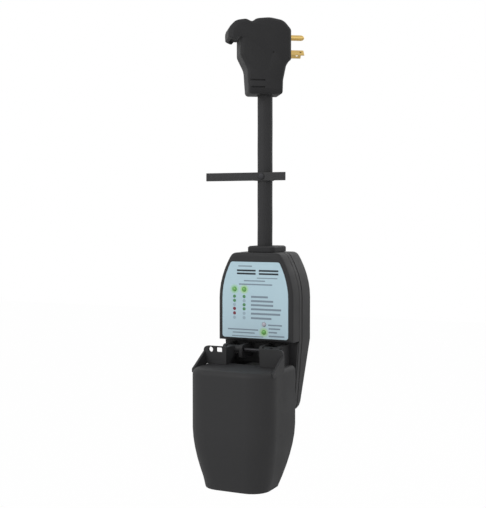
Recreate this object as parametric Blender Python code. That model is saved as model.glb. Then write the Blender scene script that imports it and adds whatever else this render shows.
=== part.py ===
"""Portable surge protector for a recreational vehicle: a right-angle plug, a short cord, and a hanging box.

Metres, +Z up. The origin is the middle of the plug's face, where the plug seats on an outlet, and the label
looks along -Y. The box hangs below the plug on its cord, and a rain hood on a hinge covers its outlet.
"""

import math

import bmesh
import bpy
from mathutils import Matrix, Vector

# Clearances
FIT_GAP = 0.0003
EMBED = 0.001
THROUGH = 0.002

# Plug
PLUG_TURN = math.radians(33)
CORD_REACH = 0.0275
PLUG_WIDTH = 0.042
PLUG_TOP = 0.0285
PLUG_BOTTOM = -0.0606
HOOK_REACH = 0.0445
HOOK_THROAT = 0.0062
HOOK_TIP = 0.0026
GRIP_REACH = 0.031
NECK_REACH = 0.0212
FACE_TOP = 0.015
FACE_BOTTOM = -0.0195
INSERT_WIDTH = 0.029
INSERT_TOP = 0.0112
INSERT_BOTTOM = -0.0185
INSERT_DEPTH = 0.008
BLADE_LENGTH = 0.016
BLADE_WIDTH = 0.008
BLADE_THICKNESS = 0.0016
BLADE_SPREAD = 0.009
BLADE_DROP = -0.0125
BLADE_TILT = math.radians(45)
BLADE_HOLE_RADIUS = 0.0016
EARTH_LENGTH = 0.018
EARTH_RADIUS = 0.0032
EARTH_RISE = 0.006
GROOVE_HEIGHTS = (-0.0455, -0.0535)
GROOVE_HEIGHT = 0.0018
GROOVE_DEPTH = 0.0014
GROOVE_REACH = 0.018

# Cord, strap and gland
CORD_DIAMETER = 0.0175
CORD_SEAT = 0.010
CORD_TAIL = 0.027
CORD_POINTS = 6
STRAP_HEIGHT = -0.154
STRAP_WIDTH = 0.0095
STRAP_THICKNESS = 0.0016
STRAP_TAIL = 0.071
STRAP_HEAD = 0.0295
RIVET_RADIUS = 0.0038
RIVET_HEAD = 0.0012
RIVET_SHANK_RADIUS = 0.0016
GLAND_HEIGHT = 0.007
GLAND_HALF_WIDTH = 0.017
GLAND_FRONT = -0.015
GLAND_BACK = 0.027
GLAND_WALL = 0.004
GLAND_NECK = 0.011
GLAND_LIP = 0.003

# Housing
BODY_TOP = -0.241
BODY_WIDTH = 0.093
BODY_DEPTH = 0.056
SHOULDER_DRAW = 0.0165
TOP_RADIUS = 0.009
SHOULDER_DROP = 0.052
LABEL_STEP = -0.342
BODY_BOTTOM = -0.425
BOTTOM_DRAW = 0.0065
BOTTOM_RADIUS = 0.012
BOTTOM_BACK = 0.010
SET_BACK = 0.020
SHELL_WALL = 0.003
MOULD_STEP = 0.0002
EDGE_RADIUS = 0.0035
SEAL_THICKNESS = 0.0012
SEAL_WIDTH = 0.0018
SEAL_INSET = 0.0006
POST_RADIUS = 0.004
SMALL_POST_RADIUS = 0.0033
SCREW_RADIUS = 0.0016
SCREW_HEAD_RADIUS = 0.0031
SCREW_HEAD_HEIGHT = 0.0022
SCREW_BITE = 0.009
SCREW_SINK = 0.004
HEAD_WALL = 0.0014
POST_CLEARANCE = 0.0005
UPPER_SCREW_INSET = 0.002
UPPER_SCREW_HEIGHT = -0.259
MIDDLE_SCREW_HEIGHT = -0.330
LOWER_SCREW_HEIGHT = -0.411
APRON_TOP = -0.3725
APRON_END = -0.411
APRON_FRONT = -0.034
APRON_INSET = 0.0005
APRON_WALL = 0.0026

# Label and lamps
LABEL_MARGIN = 0.0055
LABEL_SHOULDER_DRAW = 0.011
LABEL_TOP = -0.2515
LABEL_BOTTOM = -0.3385
LABEL_DROP = 0.042
LABEL_RADIUS = 0.003
LABEL_THICKNESS = 0.0008
LABEL_PROUD = 0.0003
LAMP_RADIUS = 0.0025
LAMP_PROUD = 0.0012
LAMP_COLLAR = 0.001
LAMPS = {
    "status_lamp_left": (-0.0256, -0.283),
    "status_lamp_right": (-0.0134, -0.283),
    "fault_lamp": (0.0114, -0.3222),
    "surge_lamp": (0.0112, -0.3312),
}

# Board and what it carries
BOARD_HALF_WIDTH = 0.033
BOARD_TOP = -0.272
BOARD_BOTTOM = -0.3385
BOARD_THICKNESS = 0.0016
BOARD_FRONT = -0.0166
BOARD_POST_INSET = 0.004
BOARD_POST_RADIUS = 0.003
BOARD_SCREW_RADIUS = 0.0011
BOARD_SCREW_HEAD_RADIUS = 0.0022
BOARD_SCREW_HEAD = 0.0016
BOARD_SCREW_LENGTH = 0.007
VARISTOR_RADIUS = 0.009
VARISTOR_THICKNESS = 0.005
VARISTOR_HEIGHT = -0.301
COMPONENT_PITCH = 0.014
FUSE_RADIUS = 0.002
FUSE_LENGTH = 0.011
FUSE_TOP = -0.317
BLOCK_WIDTH = 0.036
BLOCK_DEPTH = 0.010
BLOCK_TOP = -0.279
BLOCK_BOTTOM = -0.2905
BLOCK_WIRE_RADIUS = 0.0016
BLOCK_WIRE_DEPTH = 0.006

# Cord clamp and conductors
CLAMP_HALF_WIDTH = 0.0195
CLAMP_THICKNESS = 0.0045
CLAMP_TOP = -0.2555
CLAMP_BOTTOM = -0.2655
CLAMP_SCREW_SPREAD = 0.0145
LEAD_DIAMETER = 0.0044
LEAD_RING = 0.0045
LEAD_STEPS = 20
LEAD_SPREAD_SHARE = 0.25
LEAD_BACK_SHARE = 0.14

# Outlet
OUTLET_HEIGHT = -0.392
OUTLET_RADIUS = 0.019
OUTLET_BACK = 0.004
FLANGE_HALF_WIDTH = 0.031
FLANGE_HALF_HEIGHT = 0.023
FLANGE_THICKNESS = 0.0035
OUTLET_SEAL = 0.0008
OUTLET_SCREW_SPREAD = 0.0262
OUTLET_SCREW_LENGTH = 0.0095
OUTLET_POST_END = -0.001
CONTACT_RADIUS = 0.0052
CONTACT_FRONT = -0.0037
CONTACT_SLOT_DEPTH = 0.006
TAIL_WIDTH = 0.006
TAIL_THICKNESS = 0.002
TAIL_LENGTH = 0.0055

# Hinge and rain hood
PIN_HEIGHT = -0.351
PIN_FORWARD = -0.035
PIN_RADIUS = 0.002
PIN_HEAD_RADIUS = 0.0036
PIN_HEAD = 0.0016
PIN_TAIL = 0.0008
CLIP_THICKNESS = 0.001
BRACKET_PLATE = 0.0025
BRACKET_TOP = -0.3435
BRACKET_BOTTOM = -0.3685
BRACKET_SCREW_HEIGHT = -0.384
LEG_INNER = 0.0318
RIB_WIDTH = 0.004
RIB_PLACES = (0.0125, 0.033)
RIB_CREST = 0.0055
INNER_RIB_BOTTOM = -0.360
OUTER_RIB_BOTTOM = -0.372
HOOD_TOP = -0.366
HOOD_BOTTOM = -0.499
HOOD_REACH = 0.0775
HOOD_WALL = 0.0026
HOOD_ROOF = 0.003
HOOD_SIDE_GAP = 0.0004
HOOD_WRAP = 0.0008
HOOD_RADIUS = 0.026
ROOF_EDGE_RADIUS = 0.006
TAPER_START = -0.432
TAPER_SIDE = 0.0115
TAPER_FRONT = 0.0125
TAPER_REAR = 0.023
OPENING_HALF_WIDTH = 0.0455
OPENING_DEPTH = 0.020
STOP_GAP = 0.0004
EAR_INNER = 0.0205
EAR_FORWARD = -0.059
EAR_THICKNESS = 0.003
EAR_TOP = -0.3455
EAR_CORNER = 0.005
ARM_WIDTH = 0.005
ARM_FOOT = 0.005
PEG_PLACE = 0.036
PEG_RADIUS = 0.0012
BARREL_RADIUS = 0.0048
BARREL_END_GAP = 0.0005
GUSSET_TOP = -0.352
GUSSET_FORWARD = -0.088
LOCK_HOLE = (-0.0400, -0.3494)
LOCK_HOLE_RADIUS = 0.003
LOCK_SLOT = (-0.0295, -0.3494)
LOCK_SLOT_LENGTH = 0.0075
LOCK_SLOT_HEIGHT = 0.0052

# Worked out from the driving dimensions
FRONT = -BODY_DEPTH / 2
BACK = BODY_DEPTH / 2
RIM = SEAL_THICKNESS / 2 + FIT_GAP
TOP_WIDTH = BODY_WIDTH - 2 * SHOULDER_DRAW
BOTTOM_WIDTH = BODY_WIDTH - 2 * BOTTOM_DRAW
LABEL_WIDTH = BODY_WIDTH - 2 * LABEL_MARGIN
LABEL_TOP_WIDTH = LABEL_WIDTH - 2 * LABEL_SHOULDER_DRAW
LOWER_FRONT = FRONT + SET_BACK
CORD_RADIUS = CORD_DIAMETER / 2
CORD_TOP = PLUG_BOTTOM + CORD_SEAT - FIT_GAP
CORD_END = BODY_TOP - CORD_TAIL
BOARD_BACK = BOARD_FRONT + BOARD_THICKNESS
PIN = (PIN_FORWARD, PIN_HEIGHT)
HOOD_HALF = BODY_WIDTH / 2 + HOOD_SIDE_GAP + HOOD_WALL
HEAD_POST_RADIUS = SCREW_HEAD_RADIUS + FIT_GAP + HEAD_WALL
SLOT_WIDTH = BLADE_WIDTH + 2 * FIT_GAP
SLOT_THICKNESS = BLADE_THICKNESS + 2 * FIT_GAP

FACES_ROUND = 20
FACES_SMALL = 12


def finish(name, colour, roughness, metallic=0.0):
    """A plain material of one colour, given as red, green and blue from 0 to 1."""
    made = bpy.data.materials.new(name)
    made.use_nodes = True
    shader = made.node_tree.nodes["Principled BSDF"]
    shader.inputs["Base Color"].default_value = (*colour, 1.0)
    shader.inputs["Roughness"].default_value = roughness
    shader.inputs["Metallic"].default_value = metallic
    made.diffuse_color = (*colour, 1.0)
    return made


def placed(axis, u, v, along):
    """The point at (u, v) across an axis and at a distance along it."""
    return {"X": (along, u, v), "Y": (u, along, v), "Z": (u, v, along)}[axis]


def loft(loops, fold=None):
    """A closed body through loops of points. A fold splits the last cap between two of its points."""
    body = bmesh.new()
    rings = [[body.verts.new(point) for point in loop] for loop in loops]
    for lower, upper in zip(rings, rings[1:]):
        for i in range(len(lower)):
            j = (i + 1) % len(lower)
            body.faces.new((lower[i], lower[j], upper[j], upper[i]))
    body.faces.new(rings[0][::-1])
    last = rings[-1]
    if fold:
        first, second = fold
        body.faces.new(last[first : second + 1])
        body.faces.new(last[second:] + last[: first + 1])
    else:
        body.faces.new(last)
    bmesh.ops.recalc_face_normals(body, faces=body.faces)
    return body


def prism(axis, outline, low, high):
    """A closed outline pushed along an axis."""
    return loft([[placed(axis, u, v, along) for u, v in outline] for along in (low, high)])


def stack(axis, centre, rings, sides=FACES_ROUND):
    """A turned body: rings of (distance along the axis, radius) about a centre."""
    loops = []
    for along, radius in rings:
        angles = [2 * math.pi * i / sides for i in range(sides)]
        loops.append(
            [
                placed(axis, centre[0] + radius * math.cos(a), centre[1] + radius * math.sin(a), along)
                for a in angles
            ]
        )
    return loft(loops)


def rod(axis, centre, radius, low, high, sides=FACES_ROUND):
    """A plain round rod."""
    return stack(axis, centre, [(low, radius), (high, radius)], sides)


def block(low, high):
    """A box between two corners."""
    outline = [(low[0], low[1]), (high[0], low[1]), (high[0], high[1]), (low[0], high[1])]
    return prism("Z", outline, low[2], high[2])


def rounded(corners, steps=4):
    """A closed outline through (u, v, radius) corners, each turned by an arc of its radius."""
    outline = []
    for i, (u, v, radius) in enumerate(corners):
        here = Vector((u, v))
        if radius <= 0:
            outline.append((u, v))
            continue
        back = Vector(corners[i - 1][:2]) - here
        ahead = Vector(corners[(i + 1) % len(corners)][:2]) - here
        half_turn = back.angle(ahead) / 2
        reach = min(radius / math.tan(half_turn), 0.49 * back.length, 0.49 * ahead.length)
        radius = reach * math.tan(half_turn)
        middle = (back.normalized() + ahead.normalized()).normalized()
        centre = here + middle * radius / math.sin(half_turn)
        start = here + back.normalized() * reach - centre
        end = here + ahead.normalized() * reach - centre
        first = math.atan2(start.y, start.x)
        sweep = (math.atan2(end.y, end.x) - first + math.pi) % (2 * math.pi) - math.pi
        for step in range(steps + 1):
            angle = first + sweep * step / steps
            outline.append((centre.x + radius * math.cos(angle), centre.y + radius * math.sin(angle)))
    return outline


def rounded_box(half_width, low, high, radius, steps=4):
    """An outline centred on the first axis, from low to high on the second, with round corners."""
    corners = [(-half_width, low), (half_width, low), (half_width, high), (-half_width, high)]
    return rounded([(u, v, radius) for u, v in corners], steps)


def moved(body, matrix):
    bmesh.ops.transform(body, matrix=matrix, verts=body.verts)
    return body


def piece(name, body, material, frame):
    """A named solid, placed in a frame."""
    mesh = bpy.data.meshes.new(name)
    body.to_mesh(mesh)
    body.free()
    mesh.materials.append(material)
    mesh.shade_smooth()
    mesh.set_sharp_from_angle(angle=math.radians(35))
    made = bpy.data.objects.new(name, mesh)
    bpy.context.collection.objects.link(made)
    made.parent = frame
    return made


def shape(target, body, operation):
    """Cuts a body out of a solid, or joins it on, with a Boolean that keeps its hidden tool."""
    tool = piece(f"{target.name}.{operation.lower()}", body, target.data.materials[0], target.parent)
    tool.hide_render = True
    tool.display_type = "WIRE"
    step = target.modifiers.new(operation.title(), "BOOLEAN")
    step.operation = operation
    step.solver = "EXACT"
    step.object = tool


def cut(target, *bodies):
    for body in bodies:
        shape(target, body, "DIFFERENCE")


def join(target, *bodies):
    for body in bodies:
        shape(target, body, "UNION")


def half_width_at(height):
    """Half the housing's width, which narrows below the label."""
    share = max(0.0, (LABEL_STEP - height) / (LABEL_STEP - BODY_BOTTOM))
    return BODY_WIDTH / 2 - share * (BODY_WIDTH - BOTTOM_WIDTH) / 2


def back_at(height):
    """How far back the rear shell reaches, which slopes in below the label."""
    share = max(0.0, (LABEL_STEP - height) / (LABEL_STEP - BODY_BOTTOM))
    return BACK - share * (BACK - BOTTOM_BACK)


def arched(half, top_half, top, drop, radius, steps=6):
    """The right shoulder of an arch, from its straight side up to its flat top, with a round top corner."""
    points = []
    for i in range(steps + 1):
        rise = i / steps
        across = half - (half - top_half) * rise**2
        points.append((across, top - (1 - rise) * drop, radius if i == steps else 0))
    return points


def mirrored(right):
    """A closed outline from its right side, listed from the bottom to the top."""
    return right + [(-u, v, r) for u, v, r in reversed(right)]


def housing_outline(inset):
    """The whole housing seen from the front, drawn in by an inset. Points 5 and -6 are at the label step."""
    shoulder = arched(
        BODY_WIDTH / 2 - inset, TOP_WIDTH / 2 - inset, BODY_TOP - inset, SHOULDER_DROP, TOP_RADIUS - inset
    )
    corner = (BOTTOM_WIDTH / 2 - inset, BODY_BOTTOM + inset, BOTTOM_RADIUS - inset)
    side = (BODY_WIDTH / 2 - inset, LABEL_STEP, 0)
    return rounded(mirrored([corner, side] + shoulder))


def upper_outline(inset):
    """The label box seen from the front, drawn in by an inset."""
    shoulder = arched(
        BODY_WIDTH / 2 - inset, TOP_WIDTH / 2 - inset, BODY_TOP - inset, SHOULDER_DROP, TOP_RADIUS - inset
    )
    corner = (BODY_WIDTH / 2 - inset, LABEL_STEP + inset, 0)
    return rounded(mirrored([corner] + shoulder))


def label_outline(inset):
    """The label's arched outline, drawn in by an inset."""
    shoulder = arched(
        LABEL_WIDTH / 2 - inset, LABEL_TOP_WIDTH / 2 - inset, LABEL_TOP - inset, LABEL_DROP, LABEL_RADIUS
    )
    corner = (LABEL_WIDTH / 2 - inset, LABEL_BOTTOM + inset, LABEL_RADIUS)
    return rounded(mirrored([corner] + shoulder))


def rounded_edge(radius, steps=3):
    """Pairs of (inset, depth) that turn a rim over in a quarter circle."""
    angles = [math.pi / 2 * i / steps for i in range(steps + 1)]
    return [(radius * (1 - math.cos(a)), radius * math.sin(a)) for a in angles]


def opening_edge(x):
    """Where the roof's half-round opening ends towards the front, at a distance from the middle."""
    return FRONT - OPENING_DEPTH * math.sqrt(max(0.0, 1 - (x / OPENING_HALF_WIDTH) ** 2))


def plug_profile(scale):
    """The plug seen from its side, shrunk towards the cord's axis."""
    axis = -CORD_REACH
    grip = axis - GRIP_REACH
    hook = axis - HOOK_REACH
    corners = [
        (0.0, FACE_BOTTOM, 0.003),
        (0.0, FACE_TOP, 0.004),
        (-0.007, PLUG_TOP - 0.0035, 0.010),
        (axis + 0.003, PLUG_TOP, 0.030),
        (axis - 0.0120, PLUG_TOP - 0.0020, 0.010),
        (axis - 0.0160, PLUG_TOP - 0.0060, 0.004),
        (axis - 0.0230, PLUG_TOP - 0.0025, 0.006),
        (hook + 0.007, PLUG_TOP - 0.0045, 0.012),
        (hook, HOOK_TIP + 0.010, 0.012),
        (hook + 0.0015, HOOK_TIP, 0.0018),
        (hook + 0.0055, HOOK_TIP, 0.0018),
        (hook + 0.0065, HOOK_THROAT, 0.0015),
        (grip, HOOK_THROAT, 0.003),
        (grip, -0.0165, 0.010),
        (axis - NECK_REACH - 0.002, -0.032, 0.020),
        (axis - NECK_REACH, PLUG_BOTTOM, 0.004),
        (axis + NECK_REACH - 0.0035, PLUG_BOTTOM, 0.003),
        (axis + NECK_REACH - 0.0030, -0.045, 0.020),
        (axis + NECK_REACH + 0.0005, -0.028, 0.012),
        (-0.0025, FACE_BOTTOM - 0.002, 0.004),
    ]
    outline = rounded(corners, 2)
    return [(axis + (u - axis) * scale, v * scale - 0.01 * (1 - scale)) for u, v in outline]


def blade_body(width, thickness, low, high, side):
    """A flat bar along the plug's axis, tilted as one of its two blades."""
    bar = block((low, -thickness / 2, -width / 2), (high, thickness / 2, width / 2))
    turn = Matrix.Rotation(side * BLADE_TILT, 4, "X")
    place = Matrix.Translation((0, side * BLADE_SPREAD, BLADE_DROP))
    return moved(bar, place @ turn)


def make_plug(frame, soft_plastic, face_plastic, brass):
    sections = [(0.50, 0.88), (0.47, 0.94), (0.43, 0.975), (0.36, 1.0)]
    levels = [(-share, scale) for share, scale in sections]
    levels += [(share, scale) for share, scale in reversed(sections)]
    loops = [[(u, PLUG_WIDTH * share, v) for u, v in plug_profile(scale)] for share, scale in levels]
    plug = piece("plug_body", loft(loops), soft_plastic, frame)

    insert = rounded_box(INSERT_WIDTH / 2, INSERT_BOTTOM, INSERT_TOP, 0.005)
    pocket = rounded_box(INSERT_WIDTH / 2 + FIT_GAP, INSERT_BOTTOM - FIT_GAP, INSERT_TOP + FIT_GAP, 0.0053)
    cut(plug, prism("X", pocket, -INSERT_DEPTH - FIT_GAP, THROUGH))
    cord_hole = CORD_RADIUS + FIT_GAP
    axis = (-CORD_REACH, 0)
    cut(plug, rod("Z", axis, cord_hole, PLUG_BOTTOM - THROUGH, PLUG_BOTTOM + CORD_SEAT))
    grip_back = -CORD_REACH - NECK_REACH
    for height in GROOVE_HEIGHTS:
        low, high = height - GROOVE_HEIGHT / 2, height + GROOVE_HEIGHT / 2
        side_depth = PLUG_WIDTH / 2 - GROOVE_DEPTH
        for side in (-1, 1):
            edges = sorted((side * side_depth, side * PLUG_WIDTH))
            cut(plug, block((grip_back, edges[0], low), (grip_back + GROOVE_REACH, edges[1], high)))

    face = piece("plug_face", prism("X", insert, -INSERT_DEPTH, 0.0), face_plastic, frame)
    root = -INSERT_DEPTH + FIT_GAP
    for side, name in ((-1, "line_blade"), (1, "neutral_blade")):
        cut(face, blade_body(SLOT_WIDTH, SLOT_THICKNESS, -INSERT_DEPTH - THROUGH, THROUGH, side))
        blade = piece(name, blade_body(BLADE_WIDTH, BLADE_THICKNESS, root, BLADE_LENGTH, side), brass, frame)
        hole = rod("Y", (BLADE_LENGTH * 0.72, 0), BLADE_HOLE_RADIUS, -BLADE_WIDTH, BLADE_WIDTH, FACES_SMALL)
        turn = Matrix.Rotation(side * BLADE_TILT, 4, "X")
        cut(blade, moved(hole, Matrix.Translation((0, side * BLADE_SPREAD, BLADE_DROP)) @ turn))
    earth = (0, EARTH_RISE)
    cut(face, rod("X", earth, EARTH_RADIUS + FIT_GAP, -INSERT_DEPTH - THROUGH, THROUGH))
    tip = EARTH_LENGTH - EARTH_RADIUS
    nose = [(tip, EARTH_RADIUS), (tip + 0.0018, EARTH_RADIUS * 0.8), (EARTH_LENGTH, EARTH_RADIUS * 0.35)]
    piece("earth_pin", stack("X", earth, [(root, EARTH_RADIUS)] + nose), brass, frame)


def make_cord(frame, jacket):
    spline_points = [CORD_TOP + (CORD_END - CORD_TOP) * i / (CORD_POINTS - 1) for i in range(CORD_POINTS)]
    curve = bpy.data.curves.new("power_cord", "CURVE")
    curve.dimensions = "3D"
    curve.bevel_depth = CORD_RADIUS
    curve.bevel_resolution = 4
    curve.use_fill_caps = True
    spline = curve.splines.new("POLY")
    spline.points.add(CORD_POINTS - 1)
    for point, height in zip(spline.points, spline_points):
        point.co = (0, 0, height, 1)
    curve.materials.append(jacket)
    cord = bpy.data.objects.new("power_cord", curve)
    bpy.context.collection.objects.link(cord)
    cord.parent = frame


def make_strap(frame, webbing, steel):
    inner = CORD_RADIUS + FIT_GAP
    outer = inner + STRAP_THICKNESS
    low, high = STRAP_HEIGHT - STRAP_WIDTH / 2, STRAP_HEIGHT + STRAP_WIDTH / 2
    strap = piece("cord_strap", rod("Z", (0, 0), outer, low, high, 28), webbing, frame)
    ends = [(-STRAP_TAIL, low), (STRAP_HEAD, low), (STRAP_HEAD, high), (-STRAP_TAIL, high)]
    band = rounded([(u, v, 0.001) for u, v in ends])
    join(strap, prism("Y", band, -outer, -inner))
    cut(strap, rod("Z", (0, 0), inner, low - THROUGH, high + THROUGH, 28))
    middle = (0, STRAP_HEIGHT)
    cut(strap, rod("Y", middle, RIVET_SHANK_RADIUS + FIT_GAP, -outer - THROUGH, 0, FACES_SMALL))
    seat = -outer - FIT_GAP
    rings = [
        (-inner - FIT_GAP, RIVET_SHANK_RADIUS),
        (seat, RIVET_SHANK_RADIUS),
        (seat, RIVET_RADIUS),
        (seat - RIVET_HEAD * 0.5, RIVET_RADIUS),
        (seat - RIVET_HEAD, RIVET_RADIUS * 0.6),
    ]
    piece("strap_rivet", stack("Y", middle, rings, FACES_SMALL), steel, frame)


def make_gland(frame, rubber):
    seat = BODY_TOP + FIT_GAP
    top = BODY_TOP + GLAND_HEIGHT
    edge = 0.0015
    loops = []
    for height, inset in ((seat, 0), (top - edge, 0), (top, edge)):
        plan = rounded(
            [
                (-GLAND_HALF_WIDTH + inset, GLAND_FRONT + inset, 0.006),
                (GLAND_HALF_WIDTH - inset, GLAND_FRONT + inset, 0.006),
                (GLAND_HALF_WIDTH - inset, GLAND_BACK - inset, 0.006),
                (-GLAND_HALF_WIDTH + inset, GLAND_BACK - inset, 0.006),
            ]
        )
        loops.append([(u, v, height) for u, v in plan])
    gland = piece("cord_gland", loft(loops), rubber, frame)
    neck = CORD_RADIUS + FIT_GAP + GLAND_WALL
    lip = BODY_TOP - SHELL_WALL - FIT_GAP
    rings = [
        (seat + EMBED, neck),
        (lip, neck),
        (lip, neck + GLAND_LIP),
        (lip - GLAND_LIP, neck + GLAND_LIP),
        (lip - GLAND_LIP, neck),
        (BODY_TOP - GLAND_NECK, neck),
    ]
    join(gland, stack("Z", (0, 0), rings[::-1]))
    cut(gland, rod("Z", (0, 0), CORD_RADIUS + FIT_GAP, BODY_TOP - GLAND_NECK - THROUGH, top + THROUGH))


def gland_hole():
    """The round hole that the two shells leave for the gland's neck."""
    neck = CORD_RADIUS + 2 * FIT_GAP + GLAND_WALL
    return rod("Z", (0, 0), neck, BODY_TOP - SHELL_WALL - THROUGH, BODY_TOP + THROUGH)


def screw_places():
    """Each housing screw's place, and how far its tip reaches forward."""
    reach = SHELL_WALL + POST_RADIUS + POST_CLEARANCE
    return [
        (TOP_WIDTH / 2 - UPPER_SCREW_INSET, UPPER_SCREW_HEIGHT, FRONT + SHELL_WALL + EMBED),
        (BODY_WIDTH / 2 - reach, MIDDLE_SCREW_HEIGHT, FRONT + SHELL_WALL + EMBED),
        (half_width_at(LOWER_SCREW_HEIGHT) - reach, LOWER_SCREW_HEIGHT, LOWER_FRONT + SHELL_WALL + EMBED),
    ]


def make_front_shell(frame, case):
    loops = [[(u, LOWER_FRONT + SHELL_WALL / 2, v) for u, v in upper_outline(MOULD_STEP)]]
    for inset, depth in rounded_edge(EDGE_RADIUS):
        level = FRONT + EDGE_RADIUS - depth
        loops.append([(u, level, v) for u, v in upper_outline(MOULD_STEP + inset)])
    shell = piece("front_shell", loft(loops), case, frame)
    join(shell, prism("Y", housing_outline(0), LOWER_FRONT, -RIM))
    upper_wall = SHELL_WALL + MOULD_STEP
    cut(shell, prism("Y", upper_outline(upper_wall), FRONT + SHELL_WALL, LOWER_FRONT + SHELL_WALL + EMBED))
    cut(shell, prism("Y", housing_outline(SHELL_WALL), LOWER_FRONT + SHELL_WALL, THROUGH))

    thread = SCREW_RADIUS + FIT_GAP
    for side in (-1, 1):
        for x, height, tip in screw_places():
            spot = (side * x, height)
            join(shell, rod("Y", spot, POST_RADIUS, tip - 2 * EMBED, -RIM, FACES_SMALL))
            cut(shell, rod("Y", spot, thread, max(tip, -SCREW_BITE) - FIT_GAP, THROUGH, FACES_SMALL))
        for height in (BOARD_TOP - BOARD_POST_INSET, BOARD_BOTTOM + BOARD_POST_INSET):
            spot = (side * (BOARD_HALF_WIDTH - BOARD_POST_INSET), height)
            end = BOARD_FRONT - FIT_GAP
            join(shell, rod("Y", spot, BOARD_POST_RADIUS, FRONT + SHELL_WALL - EMBED, end, FACES_SMALL))
            depth = BOARD_BACK - BOARD_SCREW_LENGTH - FIT_GAP
            cut(shell, rod("Y", spot, BOARD_SCREW_RADIUS + FIT_GAP, depth, end + THROUGH, FACES_SMALL))
        outlet_spot = (side * OUTLET_SCREW_SPREAD, OUTLET_HEIGHT)
        bracket_spot = (side * bracket_screw_place(), BRACKET_SCREW_HEIGHT)
        for spot in (outlet_spot, bracket_spot):
            join(shell, rod("Y", spot, SMALL_POST_RADIUS, LOWER_FRONT + EMBED, OUTLET_POST_END, FACES_SMALL))
            cut(shell, rod("Y", spot, thread, LOWER_FRONT - THROUGH, THROUGH, FACES_SMALL))

    cut(shell, rod("Y", (0, OUTLET_HEIGHT), OUTLET_RADIUS + FIT_GAP, LOWER_FRONT - THROUGH, THROUGH, 32))
    recess = FRONT - LABEL_PROUD + LABEL_THICKNESS + FIT_GAP
    cut(shell, prism("Y", label_outline(-FIT_GAP), FRONT - THROUGH, recess))
    inside = FRONT + SHELL_WALL + THROUGH
    for spot in LAMPS.values():
        cut(shell, rod("Y", spot, LAMP_RADIUS + FIT_GAP, FRONT - THROUGH, inside, FACES_SMALL))
    cut(shell, gland_hole())


def bracket_screw_place():
    """How far out the hinge bracket's screws stand, in the middle of its legs."""
    return (LEG_INNER + half_width_at(BRACKET_SCREW_HEIGHT) - APRON_INSET - SHELL_WALL) / 2


def rib_body(x, bottom):
    """One hinge rib under the label, from the bracket's plate out past the pin."""
    front = opening_edge(RIB_PLACES[1] + RIB_WIDTH / 2) + STOP_GAP
    crest = PIN_HEIGHT + RIB_CREST
    root = LOWER_FRONT - FIT_GAP - BRACKET_PLATE / 2
    corners = [(root, crest, 0), (front, crest, RIB_CREST * 0.8), (front, bottom, 0.003), (root, bottom, 0)]
    return prism("X", rounded(corners), x - RIB_WIDTH / 2, x + RIB_WIDTH / 2)


def make_bracket(frame, case, steel):
    back = LOWER_FRONT - FIT_GAP
    front = back - BRACKET_PLATE
    outer_top = half_width_at(BRACKET_TOP) - APRON_INSET
    outer_end = half_width_at(APRON_END) - APRON_INSET
    outline = [
        (LEG_INNER, APRON_END),
        (outer_end, APRON_END),
        (outer_top, BRACKET_TOP),
        (-outer_top, BRACKET_TOP),
        (-outer_end, APRON_END),
        (-LEG_INNER, APRON_END),
        (-LEG_INNER, BRACKET_BOTTOM),
        (LEG_INNER, BRACKET_BOTTOM),
    ]
    bracket = piece("hinge_bracket", prism("Y", outline, front, back), case, frame)
    for side, hand in ((-1, "left"), (1, "right")):
        top = half_width_at(APRON_TOP) - 2 * APRON_INSET
        end = half_width_at(APRON_END + EMBED) - 2 * APRON_INSET
        apron = [
            (side * top, APRON_TOP),
            (side * (top - APRON_WALL), APRON_TOP),
            (side * (end - APRON_WALL), APRON_END + EMBED),
            (side * end, APRON_END + EMBED),
        ]
        join(bracket, prism("Y", apron, APRON_FRONT, back - BRACKET_PLATE / 2))
        for x, bottom in zip(RIB_PLACES, (INNER_RIB_BOTTOM, OUTER_RIB_BOTTOM)):
            join(bracket, rib_body(side * x, bottom))
        spot = (side * bracket_screw_place(), BRACKET_SCREW_HEIGHT)
        cut(bracket, rod("Y", spot, SCREW_RADIUS + FIT_GAP, front - THROUGH, back + THROUGH, FACES_SMALL))
        tip = OUTLET_POST_END - EMBED
        make_screw(f"bracket_screw_{hand}", spot, front - FIT_GAP, tip, steel, frame, 1)
    cut(bracket, rod("X", PIN, PIN_RADIUS + FIT_GAP, -BODY_WIDTH, BODY_WIDTH))


def rear_loop(inset, level):
    """A loop of the rear shell at a depth, held in front of its sloping back."""
    return [(u, min(BACK, back_at(v)) - level, v) for u, v in housing_outline(inset)]


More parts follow.
